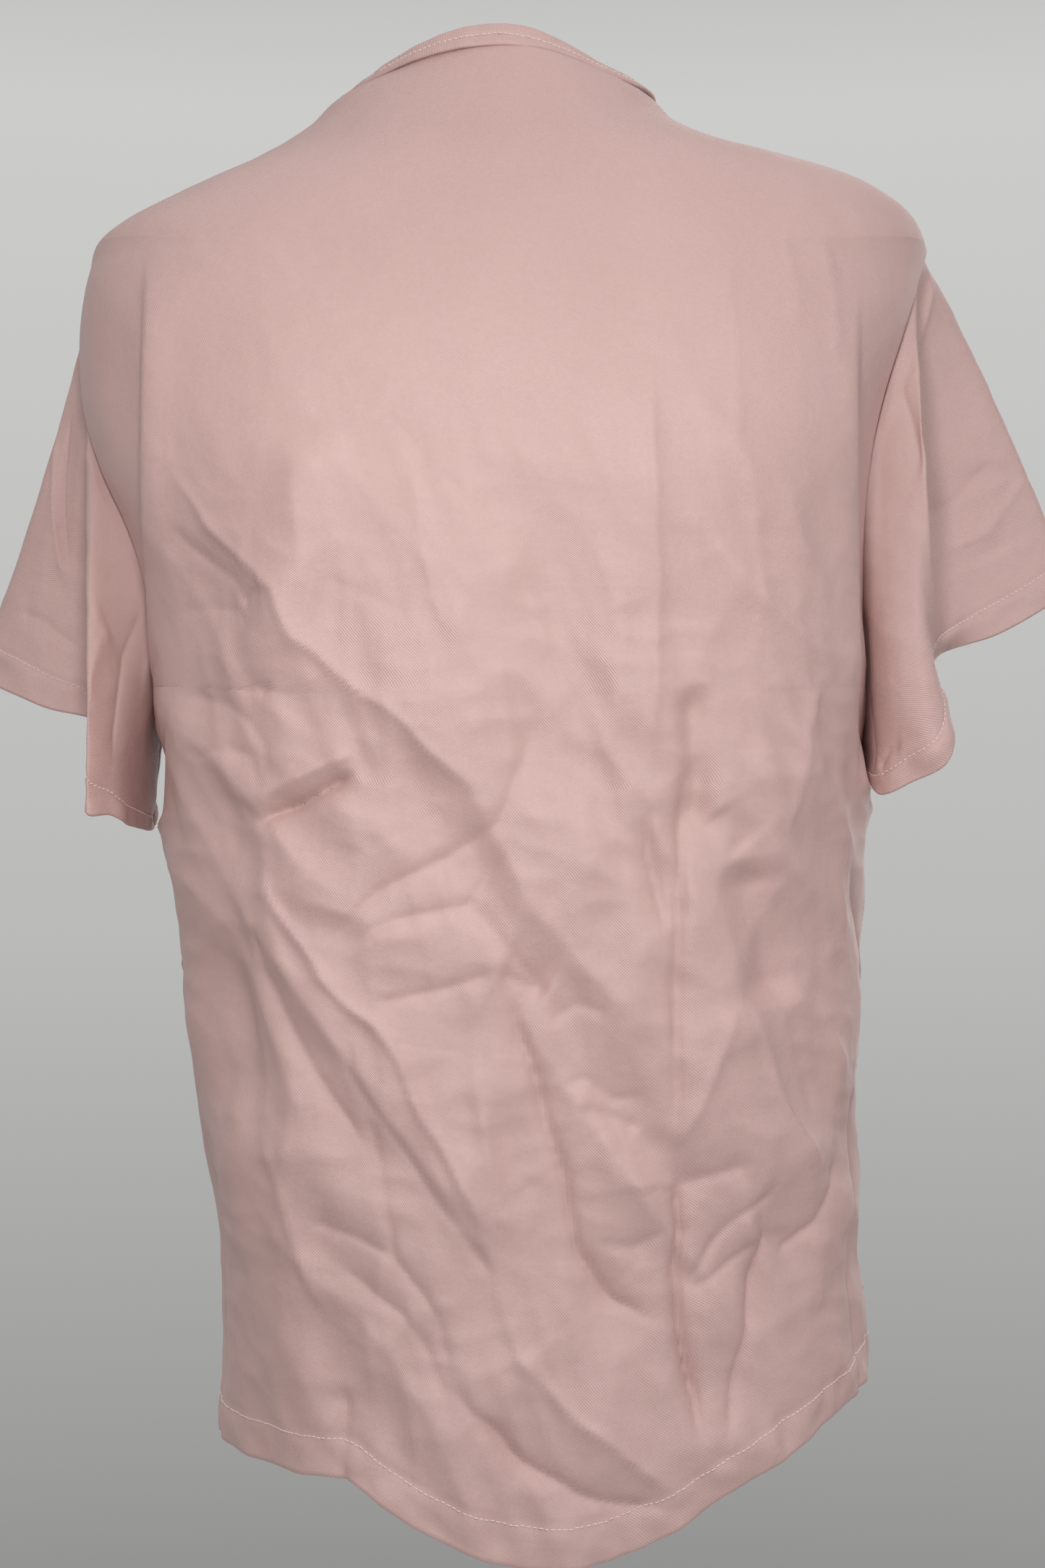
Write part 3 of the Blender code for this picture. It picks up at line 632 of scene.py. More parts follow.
def mesh_from(name, points, faces, flat=None):
    """A smooth mesh, with its flat layout in metres as UVs where it has one."""
    mesh = bpy.data.meshes.new(name)
    mesh.from_pydata(points.reshape(-1, 3).tolist(), [], faces)
    mesh.shade_smooth()
    if flat is not None:
        corners = flat.reshape(-1, 2)[np.reshape(faces, -1)]
        layer = mesh.uv_layers.new(name="cloth")
        layer.data.foreach_set("uv", corners.astype(np.float32).ravel())
    return mesh


def dress(piece, node, body="torso"):
    """The piece stands in for a CAD node, which is hidden, and moves with a body when one is given."""
    if body:
        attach(piece, body)
    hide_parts(node)


def grid_faces(rows, columns, closed, outward):
    """The faces of a grid of points, four corners each."""
    row, column = np.meshgrid(np.arange(rows - 1), np.arange(columns if closed else columns - 1),
                              indexing="ij")
    low = row * columns
    after = (column + 1) % columns
    faces = np.stack([low + column, low + after, low + columns + after, low + columns + column], -1)
    faces = faces.reshape(-1, 4)
    return faces if outward > 0 else faces[:, ::-1]


def cloth_object(name, points, flat, closed, outward, material, thickness=CLOTH):
    """A mesh through the grid, given its thickness."""
    faces = grid_faces(*points.shape[:2], closed, outward)
    piece = new_object(name, mesh_from(name, points, faces.tolist(), flat), material)
    shell = piece.modifiers.new("Thickness", "SOLIDIFY")
    shell.thickness = thickness
    shell.offset = 0.0
    return piece


def flat_layout(points, closed=False):
    """Distances along each row and up the middle column, in metres."""
    points = wrapped(points) if closed else points
    steps = np.linalg.norm(np.diff(points, axis=1), axis=-1)
    across = np.concatenate([np.zeros((len(points), 1)), np.cumsum(steps, 1)], 1)
    if not closed:
        across = across - across[:, -1:] / 2
    up = arc_lengths(points[:, points.shape[1] // 2])
    layout = np.stack([across, np.broadcast_to(up[:, None], across.shape)], -1)
    return layout[:, :-1] if closed else layout


def edge_distance(points):
    """How far each point lies from the nearer end of its row, in metres."""
    lengths = flat_layout(points)[..., 0]
    return (np.abs(lengths[:, :1]) - np.abs(lengths)).clip(0)


def declare_sheet(points, closed=False):
    """Wraps a closed piece's points and does nothing with them: no cut size is stated."""
    points = wrapped(points) if closed else points


# ---------------------------------------------------------------- materials

class Graph:
    """A node tree, with a short way to add each kind of node that is used more than once."""

    def __init__(self, tree):
        self.nodes = tree.nodes
        self.link = tree.links.new

    def maths(self, operation, *values):
        node = self.nodes.new("ShaderNodeMath")
        node.operation = operation
        for socket, value in zip(node.inputs, values):
            if isinstance(value, (int, float)):
                socket.default_value = value
            else:
                self.link(value, socket)
        return node.outputs[0]

    def split(self, vector):
        node = self.nodes.new("ShaderNodeSeparateXYZ")
        self.link(vector, node.inputs[0])
        return node.outputs

    def noise(self, scale, detail=2.0, roughness=0.5):
        """A noise field over the object's own places."""
        node = self.nodes.new("ShaderNodeTexNoise")
        node.inputs["Scale"].default_value = scale
        node.inputs["Detail"].default_value = detail
        node.inputs["Roughness"].default_value = roughness
        self.link(self.nodes.new("ShaderNodeTexCoord").outputs["Object"], node.inputs["Vector"])
        return node.outputs["Fac"]

    def bump(self, height, strength, distance, under=None):
        """The normal that a height field gives, on top of another one if there is one."""
        node = self.nodes.new("ShaderNodeBump")
        node.inputs["Strength"].default_value = strength
        node.inputs["Distance"].default_value = distance
        self.link(height, node.inputs["Height"])
        if under is not None:
            self.link(under, node.inputs["Normal"])
        return node.outputs["Normal"]


def mixed_material(name, light, dark, roughness):
    """A material, its graph and its shader, and a way to say what mixes its two colours."""
    material = bpy.data.materials.new(name)
    material.use_nodes = True
    graph = Graph(material.node_tree)
    shader = graph.nodes["Principled BSDF"]
    shader.inputs["Base Color"].default_value = (*light, 1.0)
    shader.inputs["Roughness"].default_value = roughness
    tint = graph.nodes.new("ShaderNodeMix")
    tint.data_type = "RGBA"
    tint.inputs["A"].default_value = (*dark, 1.0)
    tint.inputs["B"].default_value = (*light, 1.0)
    graph.link(tint.outputs["Result"], shader.inputs["Base Color"])
    return material, graph, shader.inputs, tint.inputs["Factor"]


def twill_material(name):
    """Dusty pink twill: a fine diagonal rib, broken by the weft, with slubs and soft wear."""
    material, graph, finish, factor = mixed_material(name, TWILL_LIGHT, TWILL_DARK, 0.48)
    finish["Specular IOR Level"].default_value = 1.0
    finish["Sheen Weight"].default_value = 0.04
    finish["Sheen Roughness"].default_value = 0.45
    finish["Sheen Tint"].default_value = (0.92, 0.88, 0.86, 1.0)
    layout = graph.nodes.new("ShaderNodeUVMap")
    layout.uv_map = "cloth"
    u, v, _ = graph.split(layout.outputs[0])
    turns = 2 * pi / (TWILL_PITCH * 2 ** 0.5)
    rib = graph.maths("SINE", graph.maths("MULTIPLY", graph.maths("ADD", u, v), turns))
    across = graph.maths("SUBTRACT", v, u)
    weft = graph.maths("SINE", graph.maths("MULTIPLY", across, turns * 1.7))
    weave = graph.maths("ADD", graph.maths("MULTIPLY", rib, 0.7),
                        graph.maths("MULTIPLY", weft, 0.3))
    share = graph.maths("MULTIPLY_ADD", weave, 0.16, 0.5)
    for field, weight in ((graph.noise(420.0, 3.0), 0.35), (graph.noise(16.0, 5.0), 0.40)):
        share = graph.maths("MULTIPLY_ADD", field, weight,
                            graph.maths("ADD", share, -weight / 2))
    graph.link(share, factor)
    crushed = graph.bump(graph.noise(70.0, 4.0, 0.55), 0.5, 1.2 * MM)
    graph.link(graph.bump(weave, 0.55, 0.12 * MM, crushed), finish["Normal"])
    return material


def thread_material(name):
    """Spun polyester yarn, with its twist as a fine ripple."""
    material, graph, finish, factor = mixed_material(name, *YARNS[name], 0.55)
    finish["Sheen Weight"].default_value = 0.2
    twist = graph.noise(900.0)
    graph.link(twist, factor)
    graph.link(graph.bump(twist, 0.5, 0.1 * MM), finish["Normal"])
    return material


def floor_material():
    material, graph, _, factor = mixed_material("floor_paint", (0.66, 0.66, 0.655),
                                                (0.60, 0.60, 0.595), 0.6)
    graph.link(graph.noise(6.0), factor)
    return material


twill = twill_material("pink_twill")
yarns = {name: thread_material(name) for name in YARNS}


# ---------------------------------------------------------------- camera, light and floor

def make_camera():
    """Level, behind the garment, at the middle of its height."""
    data = bpy.data.cameras.new("camera")
    data.sensor_fit = "VERTICAL"
    data.sensor_height = CAMERA_SENSOR
    data.lens = CAMERA_LENS
    data.clip_start = 0.02
    camera = bpy.data.objects.new("camera", data)
    camera.location = CAMERA_PLACE
    camera.rotation_euler = (radians(90), 0.0, radians(180))
    bpy.context.scene.collection.objects.link(camera)
    bpy.context.scene.camera = camera


def area_light(name, place, size, power, colour):
    """A round soft light that faces the garment's middle."""
    data = bpy.data.lights.new(name, "AREA")
    data.shape = "DISK"
    data.size = size
    data.energy = power
    data.color = colour
    lamp = bpy.data.objects.new(name, data)
    lamp.location = place
    lamp.visible_camera = False
    way = Vector(LIGHT_TARGET) - Vector(place)
    lamp.rotation_euler = way.to_track_quat("-Z", "Y").to_euler()
    bpy.context.scene.collection.objects.link(lamp)


def make_lights():
    """A small key over the camera, two wide fills, and a grey studio that shades upwards."""
    area_light("key", (0.045, 0.84, -0.08), 0.16, 2.80, (1.0, 0.985, 0.965))
    area_light("fill", (-1.7, 1.7, 0.5), 1.4, 10.0, (0.97, 0.98, 1.0))
    area_light("front_fill", (-0.8, -2.4, 0.2), 2.6, 19.0, (1.0, 0.99, 0.98))
    world = bpy.data.worlds.new("studio")
    bpy.context.scene.world = world
    world.use_nodes = True
    graph = Graph(world.node_tree)
    upward = graph.split(graph.nodes.new("ShaderNodeTexCoord").outputs["Generated"])[2]
    ramp = graph.nodes.new("ShaderNodeValToRGB")
    low, high = ramp.color_ramp.elements
    low.position, high.position = WALL_SHADES[0][0], WALL_SHADES[-1][0]
    stops = [low] + [ramp.color_ramp.elements.new(place) for place, _ in WALL_SHADES[1:-1]] + [high]
    for stop, (_, shade) in zip(stops, WALL_SHADES):
        stop.color = (shade, shade, shade * 0.99, 1.0)
    graph.link(graph.maths("MULTIPLY_ADD", upward, 0.5, 0.5), ramp.inputs["Fac"])
    background = graph.nodes["Background"].inputs
    graph.link(ramp.outputs["Color"], background["Color"])
    background["Strength"].default_value = 1.0
    bpy.context.scene.view_settings.view_transform = "Standard"


def make_floor():
    bpy.ops.mesh.primitive_circle_add(vertices=96, radius=FLOOR_RADIUS, fill_type="NGON",
                                      location=(0.0, 0.0, cad_size[0][2] - FLOOR_DROP))
    floor = bpy.context.object
    floor.name = "studio_floor"
    floor.data.materials.append(floor_material())


# ---------------------------------------------------------------- body panels

def half_row(side, hand, zone, share):
    """Angles and heights across one half of a row, from the seam to the centre."""
    under, chest = (-0.32, -0.10) if side == BACK else (-0.37, -0.24)
    neck = BACK_NECK_RISE if side == BACK else V_POINT
    if zone == "lower":
        outer_angle, outer, centre, neck_share = 0.0, UNDERARM, under, 0.0
    elif zone == "armhole":
        outer_angle, outer = armhole(side, hand, share)
        centre, neck_share = under + (chest - under) * share, 0.6 * share ** 2
    else:
        outer_angle, outer = 0.0, SHOULDER_TIP * (1 - share)
        centre, neck_share = chest + (neck - chest) * share, 0.6 + 0.4 * share
    half = np.linspace(0.0, 1.0, 240) ** 1.4
    if side == BACK:
        height = outer + (centre - outer) * np.sin(half * pi / 2) ** 2
        turn = half
    else:
        height = outer + (centre - outer) * half
        neck_angle = neckline(FRONT, hand, half, 0.0)[0]
        turn = (1 - neck_share) * half + neck_share * neck_angle / (pi / 2)
    return outer_angle + (pi / 2 - outer_angle) * turn, height


def full_row(side, zone, share):
    """Angles and heights across a whole row, from the left seam to the right one."""
    left_angles, left_heights = half_row(side, LEFT, zone, share)
    right_angles, right_heights = half_row(side, RIGHT, zone, share)
    angles = np.concatenate([left_angles, pi - right_angles[-2::-1]])
    heights = np.concatenate([left_heights, right_heights[-2::-1]])
    if zone == "lower":
        hem_x = section(side, angles, np.full_like(angles, HEM_TOP))[:, 0]
        hem = smooth(HEM_LINE[side], hem_x)
        heights = hem + (heights - hem) * share
    return angles, heights


def panel_rows():
    """The zone of each row of a panel, and how far up the zone the row is."""
    rows = [("lower", row / LOWER_ROWS) for row in range(LOWER_ROWS)]
    rows += [("armhole", row / ARMHOLE_ROWS) for row in range(ARMHOLE_ROWS)]
    rows += [("shoulder", row / SHOULDER_ROWS) for row in range(SHOULDER_ROWS + 1)]
    return rows


def edge_dips(cloth, side):
    """How the cloth dips into its seams, and puckers along the stitched hem, in metres."""
    rows = len(cloth.points)
    row = np.arange(rows)[:, None]
    to_edge = edge_distance(cloth.points)
    seamed = (cloth.points[..., 2] > VENT_TOP) & (row > 0)
    dip = -0.9 * MM * np.exp(-to_edge / (2.2 * MM)) * seamed
    dip += 0.5 * MM * np.exp(-((to_edge - 5 * MM) / (3 * MM)) ** 2) * seamed
    share = row / LOWER_ROWS
    hem_way = np.exp(-((share - TURNED_SHARE) / 0.006) ** 2)
    wavy = soft_waves(cloth.points, 0.020, SEEDS["back_hem" if side == BACK else "front_hem"])
    dip += -0.5 * MM * hem_way
    dip += 0.55 * MM * wavy * np.exp(-((share - 0.6 * TURNED_SHARE) / 0.030) ** 2)
    dip += 0.6 * MM * (share < TURNED_SHARE)
    top = rows - 1 - row
    dip += -0.7 * MM * np.exp(-top / 1.6)
    return dip


def open_vent(cloth, side):
    """Moves the lower side edges apart, where the side seam stays open."""
    z = cloth.points[..., 2]
    open_share = ((VENT_TOP - z) / 0.07).clip(0, 1) ** 0.8
    gap = VENT_GAP * open_share * np.exp(-edge_distance(cloth.points) / 0.025)
    cloth.points[..., 1] += side * gap
    cloth.refresh()


def ledge_zone(z, top):
    """Where one of the steps is, from 0 to 1: it fades out at its top and at its end."""
    return ease((top - z) / 0.07) * ease((z - LEDGE_END) / 0.06)


def hang_lip(points):
    """A slight rise of the cloth just inside the step."""
    total = 0.0
    for hand, start, top in LEDGES:
        inside = (hand * points[..., 0] - start + 0.004) / 0.010
        total += ledge_zone(points[..., 2], top) * np.exp(-inside ** 2)
    return total


def hang_over(points):
    """Drops the cloth outside the shoulder blades back a step, so that the back hangs over it."""
    z = points[..., 2]
    for hand, start, top in LEDGES:
        line = start + LEDGE_SWAY * np.sin((z + 0.1) / 0.045)
        beyond = ease((hand * points[..., 0] - line) / LEDGE_WIDTH)
        points[..., 1] -= LEDGE_DEPTH * ledge_zone(z, top) * beyond * (points[..., 1] > 0.0)


def make_panel(side):
    """The back or the front: its smooth shape, then its creases, its step, its vents and seams."""
    rows = []
    for zone, share in panel_rows():
        angles, heights = full_row(side, zone, share)
        rows.append(even_row(section(side, angles, heights), PANEL_COLUMNS + 1))
    cloth = Cloth(np.array(rows), side)
    cloth.normals = blurred(cloth.normals, 6, False)
    base = cloth.points.copy()
    x, z = base[..., 0], base[..., 2]
    sway = [soft_waves(base, 0.045, SEEDS[name]) for name in ("sway_level", "sway_upright")]
    flat = base[..., [0, 2]] * TO_MM + ROUTE_SWAY * np.stack(sway, -1)
    creases, name = (BACK_CREASES, "back") if side == BACK else (FRONT_CREASES, "front")
    heights = creased(creases, flat) * MM
    side_flat = base[..., [1, 2]] * TO_MM
    for hand in (LEFT, RIGHT):
        beside = ease((hand * x - 0.10) / 0.06)
        heights += creased(SIDE_CREASES[hand], side_flat) * MM * beside
    heights += crumple(base) * (0.25 + 0.75 * ease((-0.16 - z) / 0.16))
    reach = np.where(x > 0, smooth(REACH[LEFT], z), smooth(REACH[RIGHT], z))
    inner = 0.35 + 0.65 * ease((reach - np.abs(x)) / 0.03)
    crushed = (0.10 + 0.90 * ease((-0.13 - z) / 0.24)) * inner
    heights += facets(base, SEEDS[f"{name}_facets"]) * crushed
    heights *= fade_at_seams(base)
    if side == BACK:
        heights += LEDGE_LIP * hang_lip(base)
    cloth.push(heights)
    if side == BACK:
        hang_over(cloth.points)
        cloth.refresh()
    open_vent(cloth, side)
    cloth.push(edge_dips(cloth, side))
    return cloth


def fade_at_seams(points):
    """Both panels share one line along each seam, so their creases fade out close to it."""
    z = points[..., 2]
    reach = 0.004 + 0.022 * ease((z - UNDERARM + 0.02) / 0.04)
    from_neck = (points[-1][None, :, 2] - z).clip(0)
    from_seam = 0.25 + 0.75 * ease(edge_distance(points) / reach)
    return from_seam * (0.15 + 0.85 * ease(from_neck / 0.03))


def with_turned_hem(cloth, count):
    """The cloth's rows, under those of the layer that is folded up inside, raw edge first."""
    points, normals = cloth.points, cloth.normals
    inside = []
    for row in range(count, -1, -1):
        depth = TURN_GAP if row > 0 else TURN_GAP * 0.75
        inside.append(points[row] - normals[row] * depth)
    inside.append(points[0] - normals[0] * TURN_GAP * 0.35 + [0.0, 0.0, -0.25 * TURN_GAP])
    return np.concatenate([np.array(inside), points])


def panel_object(name, side, cloth, node):
    points = with_turned_hem(cloth, round(TURNED_SHARE * LOWER_ROWS))
    piece = cloth_object(name, points, flat_layout(points), False, side, twill)
    declare_sheet(points)
    dress(piece, node)


make_camera()
make_lights()
make_floor()
back = make_panel(BACK)
front = make_panel(FRONT)
panel_object("back_cloth", BACK, back, "back_panel")
panel_object("front_cloth", FRONT, front, "front_panel")


# ---------------------------------------------------------------- sleeves

def armhole_loop(hand):
    """Points round an armhole, from the underarm up the back and down the front, on the panels."""
    loop = []
    column = 0 if hand == LEFT else PANEL_COLUMNS
    for cloth, turns in ((back, np.linspace(0, 1, 80)[:-1]), (front, np.linspace(1, 0, 80)[:-1])):
        rows = LOWER_ROWS + turns * ARMHOLE_ROWS
        loop.append(cloth.at(rows, np.full(len(turns), column))[0])
    return np.concatenate(loop)


def guide_loop(guide, turns):
    """Places on the closed smooth curve through a sleeve's guide points."""
    knots = np.array(guide)
    whole_turn = [2, 0, 0, 0]
    knots = np.concatenate([knots[-3:-1] - whole_turn, knots, knots[1:3] + whole_turn])
    return np.stack([smooth(knots[:, [0, axis]], turns) for axis in (1, 2, 3)], -1)


def make_sleeve(hand):
    """The sleeve's grid: rows from the hem up to the armhole, columns round from the underarm."""
    turns = np.linspace(0, 2, SLEEVE_COLUMNS, endpoint=False)
    loop = armhole_loop(hand)
    loop = np.concatenate([loop, loop[:1]])
    top = read_line(loop, np.linspace(0, 2, len(loop)), turns)
    top[:, 0] -= hand * SLEEVE_INSET
    middle = guide_loop(SLEEVE_MIDDLES[hand], turns)
    bottom = guide_loop(SLEEVE_HEMS[hand], turns)
    shares = np.linspace(1, 0, SLEEVE_ROWS + 1)
    rows = [top * (1 - t) * (1 - 2 * t) + middle * 4 * t * (1 - t) + bottom * t * (2 * t - 1)
            for t in shares]
    points = blurred_grid(np.array(rows))
    cloth = Cloth(points, -hand, closed=True)
    cloth.normals = blurred(cloth.normals, 6, True)
    turn_grid, share_grid = np.meshgrid(turns, shares)
    layout = np.array([SLEEVE_TURN_MM, -SLEEVE_FALL_MM])
    flat = np.stack([turn_grid, share_grid], -1) * layout
    creases = [(*crease, np.array(route) * layout) for *crease, route in SLEEVE_CREASES[hand]]
    heights = creased(creases, flat) * MM + 0.5 * crumple(points)
    heights *= ease(share_grid / 0.10)
    cloth.push(heights)
    dips = -1.2 * MM * np.exp(-share_grid * SLEEVE_FALL_MM / 2.2)
    dips += 0.5 * MM * (share_grid > 1 - SLEEVE_TURNED_SHARE)
    dips += -0.5 * MM * np.exp(-((share_grid - 1 + SLEEVE_TURNED_SHARE) / 0.010) ** 2)
    puckers = soft_waves(points, 0.020, SEEDS["sleeve_hem"])
    dips += 0.5 * MM * puckers * np.exp(-((share_grid - 0.95) / 0.06) ** 2)
    from_seam = np.minimum(turn_grid, 2 - turn_grid) * SLEEVE_TURN_MM
    dips += -1.0 * MM * np.exp(-from_seam / 2.0)
    cloth.push(dips)
    return cloth


def blurred_grid(points):
    """Smooths the rings a little, but keeps the first and the last."""
    soft = np.stack([blurred(points[..., axis], 4, True) for axis in range(3)], -1)
    soft[-1] = points[-1]
    return soft


def sleeve_blend(piece):
    """Bakes the piece's placement into its mesh; nothing ties the cloth near the armhole to the body."""
    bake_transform(piece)


def sleeve_object(hand, word, cloth):
    points = with_turned_hem(cloth, round(SLEEVE_TURNED_SHARE * SLEEVE_ROWS))
    piece = cloth_object(f"{word}_sleeve_cloth", points, flat_layout(points, closed=True), True,
                         -hand, twill)
    declare_sheet(points, closed=True)
    sleeve_blend(piece)
    dress(piece, f"{word}_sleeve", None)


sleeves = {}
for hand, word in ((LEFT, "left"), (RIGHT, "right")):
    sleeves[hand] = make_sleeve(hand)
    sleeve_object(hand, word, sleeves[hand])


# ---------------------------------------------------------------- thread

def ring_faces(rings, sides, outward):
    """The faces of a closed tube of rings of points, with its two end caps."""
    faces = [tuple(face) for face in grid_faces(rings, sides, True, outward).tolist()]
    caps = [tuple(range(sides))[::-1], tuple(range((rings - 1) * sides, rings * sides))]
    return faces + (caps if outward > 0 else [cap[::-1] for cap in caps])


def stitch_shapes(starts, ends, normals, radius, sides=6):
    """Short rounded threads from each start to each end, sunk into the cloth at both ends."""
    shares = np.array([0.0, 0.08, 0.30, 0.70, 0.92, 1.0])
    sizes = np.array([0.25, 0.80, 1.0, 1.0, 0.80, 0.25])
    lifts = np.array([-0.9, -0.25, 0.25, 0.25, -0.25, -0.9])
    along = ends - starts
    across = unit(np.cross(along, normals))
    turns = np.linspace(0, 2 * pi, sides, endpoint=False)
    rings = (starts[:, None] + along[:, None] * shares[None, :, None]
             + normals[:, None] * (lifts * radius)[None, :, None])
    round_way = (across[:, None, None] * np.cos(turns)[None, None, :, None]
                 + normals[:, None, None] * np.sin(turns)[None, None, :, None])
    points = rings[:, :, None] + round_way * (sizes * radius)[None, :, None, None]
    faces = ring_faces(len(shares), sides, 1)
    size = len(shares) * sides
    all_faces = [tuple(index * size + corner for corner in face)
                 for index in range(len(starts)) for face in faces]
    return points.reshape(-1, 3), all_faces


def thread_object(name, shape, node, slot="pale_thread", body="torso"):
    points, faces = shape
    piece = new_object(name, mesh_from(name, points, faces), yarns[slot])
    dress(piece, node, body)
    return piece


def stitched(points, normals, closed=False):
    """The threads of one row of stitching along a line on the cloth."""
    if closed:
        points = np.concatenate([points, points[:1]])
        normals = np.concatenate([normals, normals[:1]])
    lengths = arc_lengths(points)
    count = int(lengths[-1] / STITCH_PITCH)
    begins = np.arange(count) * lengths[-1] / count
    draw = np.random.default_rng(count)
    ends = begins + STITCH_LENGTH * draw.uniform(0.92, 1.04, count)
    sway = draw.normal(0, 0.10 * MM, (count, 3))
    return stitch_shapes(read_line(points, lengths, begins) + sway,
                         read_line(points, lengths, ends) + sway,
                         read_line(normals, lengths, (begins + ends) / 2), STITCH_RADIUS)


def joined(shapes):
    """Several shapes' points and faces as one."""
    points, faces, base = [], [], 0
    for some_points, some_faces in shapes:
        points.append(some_points)
        faces += [tuple(base + corner for corner in face) for face in some_faces]
        base += len(some_points)
    return np.concatenate(points), faces


def hem_stitching(word, cloth):
    row = TURNED_SHARE * LOWER_ROWS
    columns = np.linspace(1.5, PANEL_COLUMNS - 1.5, 600)
    shape = stitched(*cloth.at(row, columns, ON_CLOTH))
    thread_object(f"{word}_hem_stitching", shape, f"{word}_hem_stitch")


def satin_bar(centre, along, across, normal):
    """A bar tack: threads side by side, each as long as the bar is wide."""
    count = int(TACK_LENGTH / TACK_PITCH)
    places = (np.arange(count) + 0.5) / count - 0.5
    middles = centre + along * (places * TACK_LENGTH)[:, None]
    half = across * TACK_WIDTH / 2
    normals = np.broadcast_to(normal, middles.shape)
    return stitch_shapes(middles - half, middles + half, normals, TACK_THREAD)


hem_stitching("back", back)
hem_stitching("front", front)


def row_at_height(cloth, column, height):
    """The fractional row where a column reaches a height."""
    return float(np.interp(height, cloth.points[:, column, 2], np.arange(len(cloth.points))))


def columns_for(cloth, row, distance):
    """How many columns cover a distance along a row."""
    line = cloth.points[int(row)]
    return distance / np.linalg.norm(np.diff(line, axis=0), axis=1).mean()


def vent_stitching(hand, word):
    """Stitching up one edge of the side vent, across above it, and down the other edge."""
    edge = 0 if hand == LEFT else PANEL_COLUMNS
    points, normals = [], []
    for cloth in (back, front):
        low = TURNED_SHARE * LOWER_ROWS
        high = row_at_height(cloth, edge, VENT_STITCH_TOP)
        column = abs(edge - columns_for(cloth, high, VENT_STITCH_INSET))
        up = cloth.at(np.linspace(low, high, 60), np.full(60, column), ON_CLOTH)
        over = cloth.at(np.full(14, high), np.linspace(column, edge, 14), ON_CLOTH)
        legs = [np.concatenate([first, second]) for first, second in zip(up, over)]
        if cloth is front:
            legs = [leg[::-1] for leg in legs]
        points.append(legs[0])
        normals.append(legs[1])
    shape = stitched(np.concatenate(points), unit(np.concatenate(normals)))
    thread_object(f"{word}_vent_stitching", shape, f"{word}_vent_stitch")
    top = row_at_height(back, edge, VENT_TOP + 1.0 * MM)
    centre = (back.at(top, edge, ON_CLOTH)[0] + front.at(top, edge, ON_CLOTH)[0]) / 2
    normal = np.array([float(hand), 0.0, 0.0])
    centre = centre + normal * 0.6 * MM
    bar = satin_bar(centre, np.array([0.0, 1.0, 0.0]), np.array([0.0, 0.0, 1.0]), normal)
    thread_object(f"{word}_vent_tack", bar, f"{word}_vent_bar_tack")


def sleeve_stitching(hand, word):
    cloth = sleeves[hand]
    row = SLEEVE_TURNED_SHARE * SLEEVE_ROWS
    columns = np.linspace(0, SLEEVE_COLUMNS, 700, endpoint=False)
    shape = stitched(*cloth.at(row, columns, ON_CLOTH), True)
    piece = thread_object(f"{word}_sleeve_hem_stitching", shape, f"{word}_sleeve_hem_stitch",
                          body=None)
    sleeve_blend(piece)


# ---------------------------------------------------------------- seams inside

def tube_shape(path, radius, sides=4):
    """A thin tube along a dense path."""
    along = unit(np.gradient(path, axis=0))
    helper = np.where(np.abs(along[:, :1]) < 0.8, [[1.0, 0.0, 0.0]], [[0.0, 1.0, 0.0]])
    first = unit(np.cross(along, helper))
    second = np.cross(along, first)
    turns = np.linspace(0, 2 * pi, sides, endpoint=False)
    points = (path[:, None] + radius * (first[:, None] * np.cos(turns)[None, :, None]
                                        + second[:, None] * np.sin(turns)[None, :, None]))
    return points.reshape(-1, 3), ring_faces(len(path), sides, -1)


def strip_shape(cloth, rows, start, end):
    """The seam allowance: a narrow strip that lies inside the cloth beside its edge."""
    shares = np.linspace(0.0, 1.0, 5)
    grid_rows = np.repeat(rows[:, None], len(shares), 1)
    grid_columns = start + (end - start) * shares[None, :] + 0 * grid_rows
    outer, inner = [cloth.at(grid_rows, grid_columns, -depth)[0]
                    for depth in (STRIP_DEPTH, STRIP_DEPTH + STRIP_THICK)]
    profile = np.concatenate([outer, inner[:, ::-1]], axis=1)
    return profile.reshape(-1, 3), ring_faces(len(rows), profile.shape[1], 1)


def overlock_shapes(cloth, rows, edge, inward):
    """The allowance and the looping threads that bind its raw edge."""
    width = columns_for(cloth, rows[len(rows) // 2], STRIP_WIDTH)
    strip = strip_shape(cloth, rows, edge + inward * 0.15 * width, edge + inward * width)
    length = arc_lengths(cloth.at(rows, np.full(len(rows), edge))[0])[-1]
    loops = max(int(length / LOOP_PITCH), 2)
    turns = np.linspace(0, loops, loops * LOOP_STEPS)
    path_rows = np.interp(turns / loops, np.linspace(0, 1, len(rows)), rows)
    reach = edge + inward * width * (0.72 + 0.30 * np.cos(2 * pi * turns))
    points, normals = cloth.at(path_rows, reach, -(STRIP_DEPTH + STRIP_THICK / 2))
    points = points + normals * (LOOP_HEIGHT * np.sin(2 * pi * turns))[:, None]
    return [strip, tube_shape(points, LOOP_THREAD)]


def seam_object(name, shapes, node, body="torso"):
    """One mesh of seam allowances and their threads, the cloth in the second material slot."""
    piece = thread_object(name, joined(shapes), node, "inside_thread", body)
    piece.data.materials.append(inside_twill)
    start = 0
    for index, (_, some_faces) in enumerate(shapes):
        if index % 2 == 0:
            for polygon in piece.data.polygons[start:start + len(some_faces)]:
                polygon.material_index = 1
        start += len(some_faces)
    return piece


